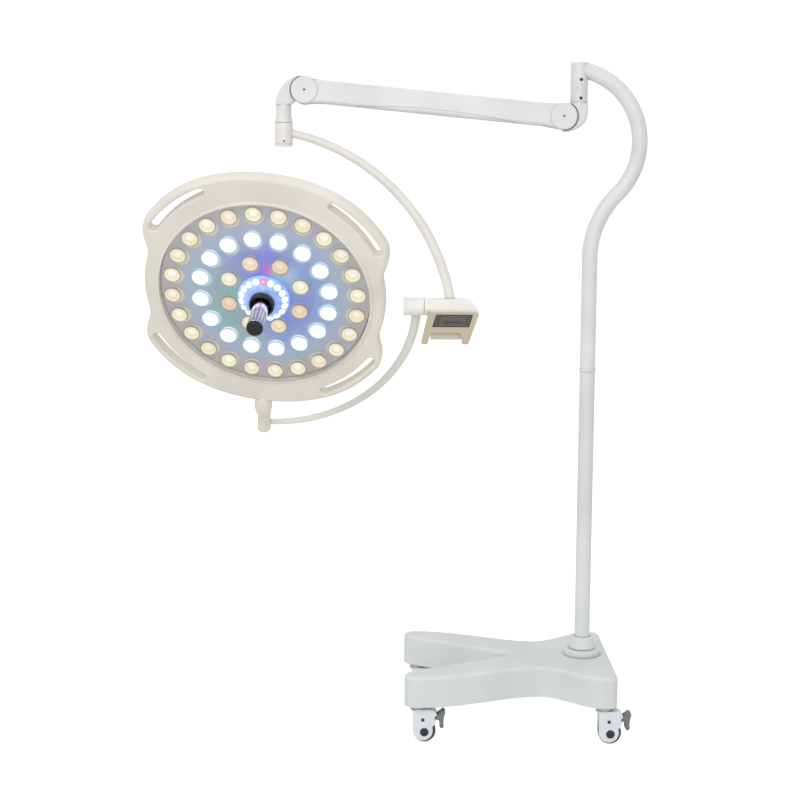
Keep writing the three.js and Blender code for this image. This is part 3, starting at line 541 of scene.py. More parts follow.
COOL = surface("cool_white_paint", (226, 229, 227), 0.36, grain=0.08, grain_scale=420, coat=0.15)
MOULDED = surface("base_white_plastic", (223, 228, 226), 0.48, grain=0.22, grain_scale=1300, mottle=0.02)
WARM = surface("warm_white_plastic", (236, 231, 221), 0.4, grain=0.12, grain_scale=1100, mottle=0.02)
WARM_PAINT = surface("warm_white_paint", (238, 235, 228), 0.34, grain=0.08, grain_scale=420, coat=0.15)
BRIGHT = surface("bright_white_plastic", (248, 247, 243), 0.36, grain=0.12, grain_scale=1100, mottle=0.02)
# painted shade: the display frame's darker beige tone stands in for the shade on its down-facing face
PANEL = surface("frame_painted_shade_beige", (196, 184, 156), 0.45, grain=0.2, grain_scale=1300, mottle=0.03)
HOOD = surface("caster_hood_plastic", (232, 236, 242), 0.38, grain=0.15, grain_scale=1300)
TYRE = surface("tyre_rubber", (84, 88, 94), 0.75, grain=0.5, grain_scale=700, mottle=0.1, mottle_scale=40)
CAPS = surface("dark_cap_plastic", (44, 48, 56), 0.42, grain=0.3, grain_scale=1200, mottle=0.08)
PEDAL = surface("pedal_plastic", (122, 128, 121), 0.5, grain=0.35, grain_scale=1100, mottle=0.05)
BLACK = surface("black_plastic", (24, 25, 30), 0.38, grain=0.25, grain_scale=1200, mottle=0.1)
STEEL = surface("brushed_steel", (188, 191, 196), 0.3, 1.0, grain=0.25, grain_scale=260, stretch=(1, 1, 14))
# painted reflection: the chrome's faint blue tint stands in for a blue reflection on the grip
CHROME = surface("polished_chrome", (226, 224, 238), 0.1, 1.0, mottle=0.02, grain=0.03, grain_scale=180,
                 stretch=(9, 9, 1), crease_shade=0.7)
CASTING = surface("painted_casting", (206, 209, 208), 0.6, grain=0.9, grain_scale=320, grain_depth=0.0004,
                  mottle=0.05, mottle_scale=30)
SINK = surface("anodised_aluminium", (172, 176, 182), 0.42, 0.9, grain=0.3, grain_scale=400,
               stretch=(1, 12, 1))
BOARD = surface("circuit_board_green", (34, 78, 52), 0.5, grain=0.6, grain_scale=500, mottle=0.3,
                mottle_scale=220)


def window_material():
    n = Nodes("clear_window")
    haze = n.noise(3, 3.0)
    n.fill("Base Color", n.ramp(haze, [(0.3, (214, 226, 240)), (0.7, (236, 242, 250))]))
    n.fill("Roughness", n.span(haze, 0.3, 0.7, 0.04, 0.12))
    n.fill("Alpha", 0.1)
    return n.material


def glow(name, stops, strength, high=0.0, tint=0.0):
    """Lit lens face: rings of colour about the lens axis, and a hot spot set above its middle."""
    n = Nodes(name)
    x, y, z = n.attribute("lens")
    apart = n.length(x, y)
    near = n.length(x, n.minus(y, high))
    blend = n.span(apart, 0.55, 0.8, 0, 1)
    radius = n.plus(n.times(near, n.minus(1.0, blend)), n.times(apart, blend))
    colour = n.ramp(radius, stops)
    facet = n.noise(260, 1.0)
    colour = n.mix(n.span(facet, 0.35, 0.65, 0.0, 0.22), colour, linear((255, 252, 240)), "SOFT_LIGHT")
    colour = n.mix(n.times(z, tint), colour, linear((226, 190, 164)), "MULTIPLY")
    n.fill("Emission Color", colour)
    n.fill("Emission Strength", strength)
    n.fill("Base Color", linear((120, 120, 120)))
    n.fill("Roughness", 0.25)
    n.bump(facet, 0.2, 0.0004)
    return n.material


WINDOW = window_material()
WARM_LENS = glow("warm_led_lens", [
    (0.00, (255, 255, 252)), (0.15, (255, 253, 238)), (0.23, (224, 206, 164)), (0.30, (252, 244, 220)),
    (0.42, (255, 250, 226)), (0.50, (216, 198, 150)), (0.62, (234, 218, 170)), (0.80, (240, 228, 184)),
    (0.88, (176, 164, 112)), (0.94, (92, 88, 48)), (1.00, (74, 72, 40))], 0.95, high=0.2, tint=0.8)
WHITE_LENS = glow("white_led_lens", [
    (0.00, (255, 255, 255)), (0.86, (252, 254, 255)), (0.93, (176, 198, 206)), (1.00, (92, 112, 124))], 1.25)
SMALL_LENS = glow("small_led_lens", [
    (0.00, (255, 255, 255)), (0.80, (246, 250, 255)), (1.00, (170, 196, 235))], 1.15)
RED_LENS = glow("red_led_lens", [
    (0.00, (255, 240, 236)), (0.40, (255, 120, 150)), (1.00, (236, 30, 110))], 1.1)


def carrier_material():
    """Brushed plate under the lenses, coloured by the light that the lamps throw on it."""
    n = Nodes("led_plate")
    x, y, _ = n.attribute("local")
    colour = n.ramp(n.math("DIVIDE", n.length(x, y), WINDOW_R), [
        (0.00, (118, 140, 205)), (0.30, (122, 140, 196)), (0.475, (136, 152, 188)), (0.490, (160, 174, 190)),
        (0.505, (144, 161, 184)), (0.70, (152, 168, 188)), (0.84, (164, 162, 170)), (1.00, (168, 160, 156))])
    # patches of light: place in mm, size in mm, colour and strength
    spots = [
        (10, 95, 62, (104, 84, 224), 0.85), (-55, 88, 60, (120, 118, 206), 0.6),
        (82, 52, 70, (78, 128, 206), 0.75), (96, -52, 74, (96, 116, 214), 0.7),
        (44, -112, 60, (92, 122, 216), 0.6), (-112, 0, 70, (132, 158, 160), 0.8),
        (-98, -66, 62, (112, 164, 150), 0.75), (-48, -112, 60, (124, 158, 156), 0.6),
        (-74, -22, 26, (84, 196, 118), 0.85), (-58, -50, 14, (96, 200, 110), 0.8),
        (-44, -62, 11, (236, 70, 60), 0.95), (34, 70, 22, (84, 202, 120), 0.9),
        (20, 74, 11, (190, 170, 40), 0.9), (2, 78, 15, (232, 44, 190), 0.95),
        (-22, 72, 20, (96, 92, 230), 0.9), (62, 66, 34, (176, 204, 240), 0.7),
    ]
    for sx, sy, size, rgb, power in spots:
        apart = n.squares(n.minus(x, sx), n.minus(y, sy))
        fall = n.math("POWER", math.e, n.math("DIVIDE", apart, -size * size))
        colour = n.mix(n.times(fall, power), colour, linear(rgb))
    # painted light: a pale ring round each lens, a little below it
    thrown = dict(outer=((214, 200, 172), 0.9), middle=((186, 208, 216), 0.85), inner=((176, 172, 190), 0.5))
    lowered = n.plus(y, 7)
    turn = n.math("ARCTAN2", lowered, x)
    reach = n.length(x, lowered)
    for ring, (rgb, power) in thrown.items():
        count, radius, phase = LED_RINGS[ring]
        step = 2 * pi / count
        turned_to = n.plus(turn, 4 * pi - radians(phase) + step / 2)
        folded = n.minus(n.math("MODULO", turned_to, step), step / 2)
        dx = n.minus(n.times(reach, n.math("COSINE", folded)), radius - 6)
        dy = n.times(reach, n.math("SINE", folded))
        mask = n.span(n.length(dx, dy), LENS_R - 2, LENS_R + 4, power, 0, "SMOOTHSTEP")
        colour = n.mix(mask, colour, linear(rgb))
    brushed = n.noise(60, 2.0, (1, 1, 18))
    colour = n.mix(n.span(brushed, 0.3, 0.7, 0.0, 0.25), colour, linear((235, 240, 255)), "SOFT_LIGHT")
    # painted light: the plate glows with the colour of the light thrown on it
    n.fill("Emission Color", colour)
    n.fill("Base Color", n.mix(0.55, colour, linear((20, 22, 28))))
    n.fill("Emission Strength", 0.62)
    n.fill("Metallic", 0.4)
    n.fill("Roughness", 0.38)
    n.bump(brushed, 0.1, 0.0003)
    return n.material


def ring_material():
    """Frosted ring that carries the small lamps, with a painted glow in its own colour."""
    n = Nodes("frosted_ring")
    cloud = n.noise(45, 3.0)
    colour = n.ramp(cloud, [(0.3, (122, 158, 226)), (0.7, (160, 186, 236))])
    n.fill("Base Color", colour)
    n.fill("Emission Color", colour)
    n.fill("Emission Strength", 0.45)
    n.fill("Roughness", 0.3)
    n.bump(n.noise(900, 2.0), 0.15, 0.0002)
    return n.material


CARRIER = carrier_material()
FROSTED = ring_material()
SCREEN = surface("screen_glass", (60, 59, 57), 0.3, mottle=0.12, mottle_scale=60, grain=0.02, coat=0.1)
BEZEL = surface("screen_border", (12, 12, 15), 0.35, mottle=0.1, grain=0.05)
MARKS = surface("screen_marks", (34, 34, 38), 0.4, mottle=0.1, grain=0.05)
MARKS_BLUE = surface("screen_marks_blue", (32, 38, 96), 0.4, mottle=0.1, grain=0.05)


# ------------------------------------------------------------------ pieces

def store(obj, name, values):
    """Keeps a vector for each point, for the material to read."""
    attribute = obj.data.attributes.new(name, "FLOAT_VECTOR", "POINT")
    attribute.data.foreach_set("vector", [c for v in values for c in v])


def piece(name, obj, place, body, material, nodes=(), crisp=32):
    """Names and places a finished mesh, smooths it, and says what it rides on and stands for."""
    obj.name = name
    obj.data.name = name
    obj.data.transform(place)
    obj.data.materials.clear()
    obj.data.materials.append(material)
    obj.data.shade_smooth()
    obj.data.set_sharp_from_angle(angle=radians(crisp))
    weighted = obj.modifiers.new("normals", "WEIGHTED_NORMAL")
    weighted.keep_sharp = True
    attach(obj, body)
    if nodes:
        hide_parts(*nodes)


def refinish(material, *nodes):
    """A CAD node that stays gets a procedural finish."""
    for node in nodes:
        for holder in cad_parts[node].material_slots:
            holder.material = material


# ------------------------------------------------------------------ base

def base_outline(inset):
    """The base from above: a waisted body with two long feet and a notch between them."""
    b = BASE
    tip = b["tip"] + inset
    end = b["end"] - inset
    tip_y = b["tip_half"] - inset
    end_y = b["end_half"] - inset
    waist = b["waist"]
    waist_y = b["waist_half"] - inset
    inner = b["notch_half"] + inset
    apex = b["notch"] + 2 * inset
    r = b["corner"] - inset
    soft = 16 - 1.2 * inset
    half = [(end, 0), (end, end_y - r)]
    half += curve((end, end_y - r), (end, end_y), (end - r, end_y), steps=10)
    half += curve((end - r, end_y), (end - 90, end_y), (waist + 60, waist_y), (waist, waist_y), steps=24)
    half += curve((waist, waist_y), (waist - 90, waist_y), (tip + 160, tip_y), (tip + r, tip_y), steps=30)
    half += curve((tip + r, tip_y), (tip, tip_y), (tip, tip_y - r), steps=10)
    half.append((tip, inner + soft))
    half += curve((tip, inner + soft), (tip, inner), (tip + 18, inner - 10), steps=8)
    half.append((apex - 14, 8))
    half += curve((apex - 14, 8), (apex - 2, 3), (apex, 0), steps=6)
    mirrored = [(x, -y) for x, y in reversed(half[1:-1])]
    return half + mirrored


def build_base():
    b = BASE
    low, high = b["low"], b["high"]
    shell = plate(base_outline(0), low, high, 2.5, b["edge"], 8)
    hollow = plate(base_outline(b["wall"] + 2), low - 2, high - b["wall"], 0, 6)
    column = rod(COLUMN_R + GAP, high - 20, high + 20)
    inlet_y = b["waist_half"] + (b["end_half"] - b["waist_half"]) * 0.45
    socket = block(-60, -12, b["waist_half"] - 20, b["end_half"] + 10, 140, 168)
    cut(shell, hollow, column, socket)
    piece("base_shell", shell, MAST, "stand", MOULDED, ["base_cover"])

    inlet = cut(block(-59.5, -12.5, inlet_y - 24, inlet_y + 1, 140.5, 167.5, 0.8),
                block(-52, -20, inlet_y - 14, inlet_y + 10, 146, 162, 2))
    for x in (-43, -36, -29):
        join(inlet, block(x - 1.2, x + 1.2, inlet_y - 15, inlet_y - 4, 150, 157, 0.3))
    piece("inlet_socket", inlet, MAST, "stand", BLACK, ["mains_inlet"])

    inner = COLUMN_R + GAP
    z = high + GAP
    lower = [(inner, z), (51, z), (51, z + 14.5), (49, z + 17.2), (46, z + 17.7), (inner, z + 17.7),
             (inner, z)]
    piece("lower_collar", turned(soften(lower, 1.2), 96), MAST, "stand", MOULDED, ["collar_lower"])
    z = high + 18 + GAP
    upper = [(inner, z), (37, z), (37, z + 4), (35.5, z + 8), (30, z + 30), (27.5, z + 33.4),
             (inner, z + 33.7), (inner, z)]
    piece("upper_collar", turned(soften(upper, 2), 96), MAST, "stand", MOULDED, ["collar_upper"])
    refinish(CASTING, "base_weight")
    refinish(STEEL, "power_supply")


# ------------------------------------------------------------------ casters

def hood_outline():
    top = PLATE_Z - GAP
    left = HOOD_X - HOOD_R
    rejoin = radians(20)
    end = (HOOD_X + HOOD_R * cos(rejoin), HOOD_Z + HOOD_R * sin(rejoin))
    points = [(left, top), (36, top)]
    points += curve((36, top), (50, PLATE_Z - 6), (50, 76), steps=8)
    points += curve((50, 76), (49, 56), end, steps=8)
    points += arc(HOOD_X, HOOD_Z, HOOD_R, 20, -180, 34)[1:]
    return points


def pedal_outline():
    points = arc(67, 82, 6, 0, 135, 10)
    points += [(50, 76)] + arc(50, 70, 6, 100, 270, 12)
    points += [(57, 60)] + arc(63, 46, 6, 198, 360, 12)
    points += curve((69, 46), (66, 66), (73, 82), steps=8)[:-1]
    return points


def build_caster(name, x, y):
    place = MAST @ shift(x, y)
    swivel = f"swivel_{name}"
    hood = slab(hood_outline(), FORK_HALF, 2.2)
    cut(hood, block(-30, 60, -FORK_GAP, FORK_GAP, -5, 2 * WHEEL_R + 4), cross_rod(6.5, -40, 40, 50, 70),
        cross_rod(5.4, -40, 40, TRAIL, WHEEL_R))
    join(hood, rod(6, PLATE_Z - 3, BASE["low"] + 18))
    piece(f"hood_{name}", hood, place, swivel, HOOD, [f"caster_hood_{name}"])

    flange = turned(soften([(0, 87), (20.5, 87), (22, 89), (22, 92.7), (0, 92.7)], 0.8), 64)
    piece(f"flange_{name}", flange, place, swivel, HOOD)

    for side, where in ((-1, "near"), (1, "far")):
        for label, radius, spot_x, spot_z in (("axle", 11.6, TRAIL, WHEEL_R), ("bolt", 4.6, HOOD_X, 65)):
            cap = turned(soften([(0, FORK_HALF), (radius, FORK_HALF), (radius, FORK_HALF + 1),
                                 (radius * 0.5, FORK_HALF + 1.9), (0, FORK_HALF + 2)], 0.5), 48)
            cap.data.transform(Matrix.Scale(side, 4, (0, 1, 0)) @ shift(spot_x, 0, spot_z) @ TO_Y)
            if side < 0:
                cap.data.flip_normals()
            piece(f"{label}_cap_{where}_{name}", cap, place, swivel, CAPS)

    w = WHEEL_HALF
    tread = [(22.3, -w), (27, -w), (29.4, -w + 1.6), (WHEEL_R, -w + 5), (WHEEL_R, w - 5),
             (29.4, w - 1.6), (27, w), (22.3, w), (22.3, -w)]
    centre = shift(TRAIL, 0, WHEEL_R) @ TO_MINUS_Y
    tyre = placed(turned(soften(tread, 1.2), 72), centre)
    piece(f"tyre_{name}", tyre, place, f"wheel_{name}", TYRE, [f"caster_tyre_{name}"])
    core = [(0, -20), (4.6, -20), (5, -19.5), (5, -w + 2), (9, -w + 1), (17, -w + 3), (22, -w + 1),
            (22, w - 1), (17, w - 3), (9, w - 1), (5, w - 2), (5, 19.5), (4.6, 20), (0, 20)]
    core = placed(turned(core, 64), centre)
    piece(f"wheel_core_{name}", core, place, f"wheel_{name}", CAPS, [f"caster_wheel_{name}"])

    pedal = slab(pedal_outline(), PEDAL_HALF, 1.6)
    piece(f"pedal_lever_{name}", pedal, place, f"pedal_{name}", PEDAL, [f"caster_pedal_{name}"])


# ------------------------------------------------------------------ mast

def build_mast():
    ring_low, ring_high = RING_Z - RING_HALF, RING_Z + RING_HALF
    foot = BASE["low"] + 12 + GAP
    lower = cut(rod(COLUMN_R, foot, ring_low - GAP, 0.8, 96), rod(COLUMN_BORE, foot - 5, ring_low + 5))
    piece("mast_tube_lower", lower, MAST, "stand", COOL, ["column_lower"])
    ring = [(0, ring_low), (COLUMN_R + 0.5, ring_low), (COLUMN_R + 1.8, ring_low + 1.5),
            (COLUMN_R + 1.8, ring_high - 1.5), (COLUMN_R + 0.5, ring_high), (0, ring_high)]
    piece("mast_joint_ring", turned(soften(ring, 0.8), 96), MAST, "stand", COOL, ["column_joint_ring"])

    # straight run, a bend to +X, then a large bend back over to the sleeve
    centre_x, centre_z = BEND["centre"]
    radius, flex = BEND["radius"], BEND["start"]
    turn_x = centre_x + radius * cos(radians(flex))
    turn_z = centre_z + radius * sin(radians(flex))
    low_r = turn_x / (1 - cos(radians(flex)))
    low_z = turn_z - low_r * sin(radians(-flex))
    start_z = ring_high + GAP
    path = [(0, start_z + (low_z - start_z) * i / 8) for i in range(8)]
    path += arc(low_r, low_z, low_r, 180, 180 + flex, 28)[:-1]
    path += arc(centre_x, centre_z, radius, flex, BEND["end"], 64)
    path = in_plane(path)
    outer = swept(path, [COLUMN_R] * len(path), ACROSS, 64)
    bore = swept([path[0] - Vector((0, 0, 6))] + path[1:], [COLUMN_BORE] * len(path), ACROSS, 48)
    to_sleeve = shift(SLEEVE_X)
    space = placed(rod(SLEEVE_R + GAP, SLEEVE_Z[0] - 20, SLEEVE_Z[1] + 40), to_sleeve)
    cut(outer, bore, space)
    piece("mast_tube_upper", outer, MAST, "stand", COOL, ["column_upper"])

    low, high = SLEEVE_Z
    screws = dict(upper=(SLEEVE_X + 3, high - 46), lower=(SLEEVE_X + 3, low + 10))
    sleeve = cut(placed(rod(SLEEVE_R, low, high, 1.4, 96), to_sleeve),
                 placed(rod(SPINDLE_R + GAP, low - 5, high - 20), to_sleeve))
    for x, z in screws.values():
        cut(sleeve, cross_rod(4.3, -40, -5, x, z))
    piece("mast_cap_sleeve", sleeve, MAST, "stand", COOL, ["mast_sleeve"])
    for label, (x, z) in screws.items():
        screw = cut(cross_rod(4, -SLEEVE_R - 1, -SPINDLE_R - 2 * GAP, x, z, 0.5),
                    cross_rod(1.9, -SLEEVE_R - 4, -SLEEVE_R + 3, x, z, 0, 6))
        piece(f"grub_screw_{label}", screw, MAST, "stand", BLACK, [f"set_screw_{label}"])
    between = (screws["upper"][1] + screws["lower"][1]) / 2
    rivet = cross_rod(2.6, -SLEEVE_R - 0.6, -SLEEVE_R + 2.5, SLEEVE_X - 9, between, 0.4)
    piece("sleeve_rivet", rivet, MAST, "stand", STEEL)


# ------------------------------------------------------------------ spring arm

def arm_outline():
    h, length = ARM_HALF_H, ARM_LENGTH
    lap = math.degrees(math.asin(h / DISC_R)) + 20
    tip = (DISC_R * cos(radians(lap)), DISC_R * sin(radians(lap)))
    points = arc(0, 0, DISC_R, -lap, lap, 40)
    points += curve(tip, (-30, h + 1), (-60, h), steps=10)
    points += curve((-length + 60, h), (-length + 30, h + 1), (-length + 12, DISC_R - 2), steps=10)
    points += arc(-length, 0, DISC_R, 71, 289, 40)
    last = points[-1]
    points += curve(last, (-length + 30, -h - 1), (-length + 60, -h), steps=10)
    points += curve((-60, -h), (-30, -h - 1), (tip[0], -tip[1]), steps=10)[:-1]
    return points


def under_seam(extra):
    """Everything under the shallow arch along which the arm's under cover meets its shell."""
    start, end, sagitta = -119, -566, 13
    chord = start - end
    radius = chord * chord / (8 * sagitta) + sagitta / 2
    half = math.degrees(math.asin(chord / 2 / radius)) * 1.2
    points = arc((start + end) / 2, -ARM_HALF_H + sagitta - radius + extra, radius, 90 - half, 90 + half, 60)
    points += [(end - 40, -ARM_HALF_H - 60), (start + 40, -ARM_HALF_H - 60)]
    return slab(points, ARM_HALF_W + 20)


def build_arm():
    w, h, length = ARM_HALF_W, ARM_HALF_H, ARM_LENGTH
    outer = slab(arm_outline(), w, 9, 7)
    cut(outer, block(-length + 52, -52, -w + ARM_WALL, w - ARM_WALL, -h + ARM_WALL, h - ARM_WALL),
        block(-53, 60, -CHEEK, CHEEK, -60, 60),
        block(-length - 60, -length + 53, -CHEEK, CHEEK, -60, 60),
        cross_rod(PIN_HOLE, -60, 60, 0, 0), cross_rod(PIN_HOLE, -60, 60, -length, 0))
    # one blank, parted along the seam into the shell and its under cover
    lower = twin(outer)
    piece("arm_upper_shell", cut(outer, under_seam(0)), ARM, "arm", COOL, ["arm_shell"])
    combine(lower, under_seam(-2 * GAP), "INTERSECT")
    piece("arm_under_cover", lower, ARM, "arm", COOL, ["arm_lower_cover"])

    for label, x in (("rear", 0), ("front", -length)):
        rim = [(2.8, w + GAP), (35, w + GAP), (35, w + 2.2), (33.6, w + 3.4), (30, w + 3.5), (3.3, w + 3.5),
               (2.8, w + 2.8), (2.8, w + GAP)]
        disc = placed(turned(soften(rim, 0.5), 96), TO_MINUS_Y, shift(x))
        piece(f"{label}_cover_disc", disc, ARM, "arm", COOL, [f"{label}_disc_cover"])
        plug = placed(turned([(0, w + 0.4), (2.6, w + 0.4), (2.4, w + 1.6), (0, w + 1.8)], 32),
                      TO_MINUS_Y, shift(x))
        piece(f"{label}_disc_screw", plug, ARM, "arm", CAPS)
    refinish(STEEL, "balance_spring", "spring_rod", "levelling_link", "rear_pivot_pin", "front_pivot_pin")


def tongue(solid, at):
    """Leaves room for the arm's end about a pivot, and puts a pierced tongue with a link stud there."""
    room = DISC_R + DISC_SWEEP
    cut(solid, cross_rod(room, -60, -TONGUE, at.x, at.z, 0, 96),
        cross_rod(room, TONGUE, 60, at.x, at.z, 0, 96))
    join(solid, cross_rod(TONGUE_R, -TONGUE, TONGUE, at.x, at.z, 0, 96))
    cut(solid, cross_rod(PIN_HOLE, -60, 60, at.x, at.z))
    return join(solid, cross_rod(LINK_STUD_R, TONGUE - 1, CHEEK - 0.5, at.x, at.z + LINK_RISE))


def build_elbows():
    x, z = REAR_PIVOT.x, REAR_PIVOT.z
    left, right = SLEEVE_X - SLEEVE_R, SLEEVE_X + SLEEVE_R - 0.2
    top = SLEEVE_Z[0] - GAP
    lap = top - 2
    under = z - DISC_R - 3
    shape = [(right, lap), (left, lap), (left, z + 20), (x, z + 10), (x, under), (x + 11, under)]
    shape += curve(shape[-1], (x + 36, under + 1), (right, z - 22), (right, z + 12), steps=24)
    body = slab(shape, SLEEVE_R - 0.2, 7, 7)
    spindle = placed(rod(SPINDLE_R, SLEEVE_Z[0] - 20, SLEEVE_Z[1] - 24), shift(SLEEVE_X))
    collar = placed(rod(SLEEVE_R, z + 8, top, 1, 96), shift(SLEEVE_X))
    rear = tongue(join(body, collar), REAR_PIVOT)
    join(rear, spindle)
    piece("rear_elbow_casting", rear, MAST, "arm_base", COOL, ["rear_elbow"])

    x, z = FRONT_PIVOT.x, FRONT_PIVOT.z
    neck, reach = 20.5, 76
    seam = FRONT_SLEEVE_Z[1] + GAP
    under = z - DISC_R
    shape = [(YOKE_X - neck, under - 20), (YOKE_X + neck, under - 20), (YOKE_X + neck, under)]
    shape += curve(shape[-1], (YOKE_X + neck + 6, under + 6), (x, z - 12), steps=4)
    shape += [(x, z + DISC_R + 1), (x - 11, z + DISC_R + 1)]
    shape += curve(shape[-1], (x - reach * 0.55, z + DISC_R + 1), (YOKE_X - neck, z + DISC_R - reach * 0.45),
                   (YOKE_X - neck, under), steps=28)
    body = cut(slab(shape, neck, 7, 7), block(YOKE_X - 40, YOKE_X + 40, -40, 40, under - 40, under))
    stem = [(0, seam), (23.6, seam), (23.6, seam + 6), (neck - 0.2, seam + 18), (neck - 0.2, under + 4),
            (0, under + 4)]
    stem = placed(turned(soften(stem, 3), 96), shift(YOKE_X))
    spindle = placed(rod(SPINDLE_R, FRONT_SLEEVE_Z[0] + 16, seam + 10), shift(YOKE_X))
    front = tongue(body, FRONT_PIVOT)
    join(front, stem, spindle)
    piece("front_elbow_casting", front, MAST, "arm_tip", COOL, ["front_elbow"])


# ------------------------------------------------------------------ yoke and control box

def tapered(radii):
    """Radii that change evenly along a tube."""
    first, last = radii
    return [first + (last - first) * i / TUBE_STEPS for i in range(TUBE_STEPS + 1)]


def build_yoke():
    z0, z1 = FRONT_SLEEVE_Z
    to_yoke = shift(YOKE_X)
    profile = [(0, z0), (23.4, z0), (23.4, z0 + 5), (22.4, z0 + 5.6), (24, z0 + 6.6), (24, z1), (0, z1)]
    sleeve = cut(placed(turned(soften(profile, 0.4), 96), to_yoke),
                 placed(rod(SPINDLE_R + GAP, z0 + 14, z1 + 5), to_yoke),
                 cross_rod(2.6, -40, -20, YOKE_X + 2, z0 + 13))
    piece("yoke_cap_sleeve", sleeve, MAST, "yoke", WARM_PAINT, ["yoke_sleeve"])
    screw = cross_rod(2.3, -23.6, -18, YOKE_X + 2, z0 + 13, 0.4)
    piece("yoke_sleeve_screw", screw, MAST, "yoke", CAPS)

    bow = UPPER_ARC
    path = in_plane(arc(*bow["centre"], bow["radius"], 90 - bow["start"], 90 - bow["end"], TUBE_STEPS))
    tube = swept(path, tapered(UPPER_TUBE_R), ACROSS, 48)
    cut(tube, placed(rod(24 + GAP, z0 - 40, z0 + 100), to_yoke),
        block(-600, -200, -60, 60, 1000, BOX_Z[1] + GAP), block(-960, YOKE_X, -60, 60, 1500, 1800))
    piece("yoke_tube_upper", tube, MAST, "yoke", WARM_PAINT, ["upper_yoke_tube"])


def lean(obj):
    """Tips the display back and sets it before the control box."""
    turn = Matrix.Rotation(radians(DISPLAY["tilt"]), 4, "X")
    return placed(obj, shift(0, 0, -DISPLAY["z"]), turn, shift(0, DISPLAY["y"], DISPLAY["z"]))


DISPLAY = dict(y=-34, z=1150, tilt=-8)
SCREEN_CORNERS = [(-419, 1148), (-319, 1148), (-329, 1114), (-430, 1114)]


def on_screen(u, v):
    """Point on the screen: u from left to right and v from bottom to top, both 0 to 1."""
    top_left, top_right, low_right, low_left = [Vector(c) for c in SCREEN_CORNERS]
    low = low_left.lerp(low_right, u)
    high = top_left.lerp(top_right, u)
    return low.lerp(high, v)


def screen_mark(u0, u1, v0, v1, radius=1.0):
    """Thin tile on the screen between two places across and two places up."""
    corners = [on_screen(u0, v0), on_screen(u1, v0), on_screen(u1, v1), on_screen(u0, v1)]
    return lean(placed(slab(rounded([(c.x, c.y, radius) for c in corners], 3), 0.15),
                       shift(0, -7.1)))


def build_control_box():
    low, high = BOX_Z
    shape = [(-437, high, 9), (-326, high, 18), (-300, high - 34, 16), (-303, low, 9), (-437, low, 9)]
    housing = slab(rounded(shape, 8), 25, 4, 5)
    join(housing, side_rod(HUB_R, -451 + GAP, -430, 0, GIMBAL.z, 1.5, 96))
    cut(housing, block(-424, -316, -21, 19, low + 6, high - 14),
        side_rod(SHAFT_HOLE, -500, -426, 0, GIMBAL.z))
    piece("control_housing", housing, MAST, "yoke", BRIGHT, ["control_box"])
    refinish(BOARD, "control_board")
    refinish(STEEL, "gimbal_shaft")

    corners = [(-441, 1153, 3), (-301, 1153, 9), (-331.5, 1068, 6), (-348.5, 1068, 6), (-352, 1097, 8),
               (-434, 1097, 8), (-442.5, 1068, 6), (-461, 1068, 12)]
    screen = [(x, z, 1.2) for x, z in SCREEN_CORNERS]
    surround = slab(rounded(corners, 6), 8, 2, 5)
    cut(surround, placed(slab(rounded(screen, 3), 5), shift(0, -7)))
    surround = cut(lean(surround), block(-470, -290, -25 - GAP, 45, low - 1, high + 10))
    piece("display_surround", surround, MAST, "yoke", PANEL, ["display_frame"])

    inner = [(x + dx, z + dz, 1.0) for (x, z), (dx, dz) in zip(
        SCREEN_CORNERS, ((0.8, -0.8), (-0.9, -0.8), (-0.8, 0.8), (0.9, 0.8)))]
    glass = placed(slab(rounded(inner, 3), 1.9, 0.4, 3), shift(0, -5))
    piece("screen_pane", lean(glass), MAST, "yoke", BEZEL, ["touch_panel"])
    piece("screen_face", screen_mark(0.035, 0.965, 0.07, 0.93), MAST, "yoke", SCREEN)

    def marks(name, material, boxes):
        first, *others = [placed(screen_mark(*box, 0.4), shift(0, -0.35)) for box in boxes]
        piece(name, join(first, *others), MAST, "yoke", material)

    marks("screen_bar", BEZEL, [(0.26, 0.76, 0.36, 0.46)])
    marks("screen_corner_marks", MARKS_BLUE, [(0.09, 0.17, 0.76, 0.87), (0.83, 0.93, 0.76, 0.87)])
    small = [(0.21, 0.235, 0.78, 0.86), (0.31, 0.335, 0.76, 0.84), (0.77, 0.79, 0.77, 0.84)]
    for v in (0.2, 0.38, 0.56):
        small.append((0.08, 0.16, v, v + 0.1))
        small.append((0.85, 0.92, v, v + 0.1))
    for u in (0.38, 0.5, 0.62):
        small.append((u - 0.02, u + 0.02, 0.15, 0.25))
    marks("screen_small_marks", MARKS, small)

    grip = join(block(-434, -422, -14, 6, 1078, low - GAP, 2.5),
                block(-352, -340, -14, 6, 1078, low - GAP, 2.5),
                block(-434, -340, -14, 6, 1078, 1096, 4))
    piece("grip_bar", grip, MAST, "yoke", WARM, ["grip_loop"])


def knuckle_blank(extra):
    low, high = KNUCKLE_Y
    return bar_y(KNUCKLE_R + extra, low - extra, high + extra, 0 if extra else 4)


def build_lower_yoke():
    hub = cut(side_rod(HUB_R, -508, -451.3, 0, GIMBAL.z, 3, 96),
              side_rod(SHAFT_HOLE, -502, -446, 0, GIMBAL.z))
    piece("gimbal_cap", hub, MAST, "lower_yoke", BRIGHT, ["gimbal_hub"])
    path = [gimbal_point(LOWER_SWEEP * i / TUBE_STEPS, LOWER_ARC_R) for i in range(TUBE_STEPS + 1)]
    tube = swept(path, tapered(LOWER_TUBE_R), arc_normal.normalized(), 48)
    space = placed(knuckle_blank(GAP), MAST.inverted() @ KNUCKLE)
    cut(tube, side_rod(HUB_R + GAP, -518, -441, 0, GIMBAL.z), space)
    piece("yoke_tube_lower", tube, MAST, "lower_yoke", WARM_PAINT, ["lower_yoke_tube"])
    knuckle = cut(knuckle_blank(0), bar_y(SHAFT_HOLE, -432, -390))
    piece("knuckle_cap", knuckle, KNUCKLE, "lower_yoke", WARM, ["head_knuckle"])


# ------------------------------------------------------------------ lamp head

def smooth(value, low, high):
    t = max(0.0, min(1.0, (value - low) / (high - low)))
    return t * t * (3 - 2 * t)


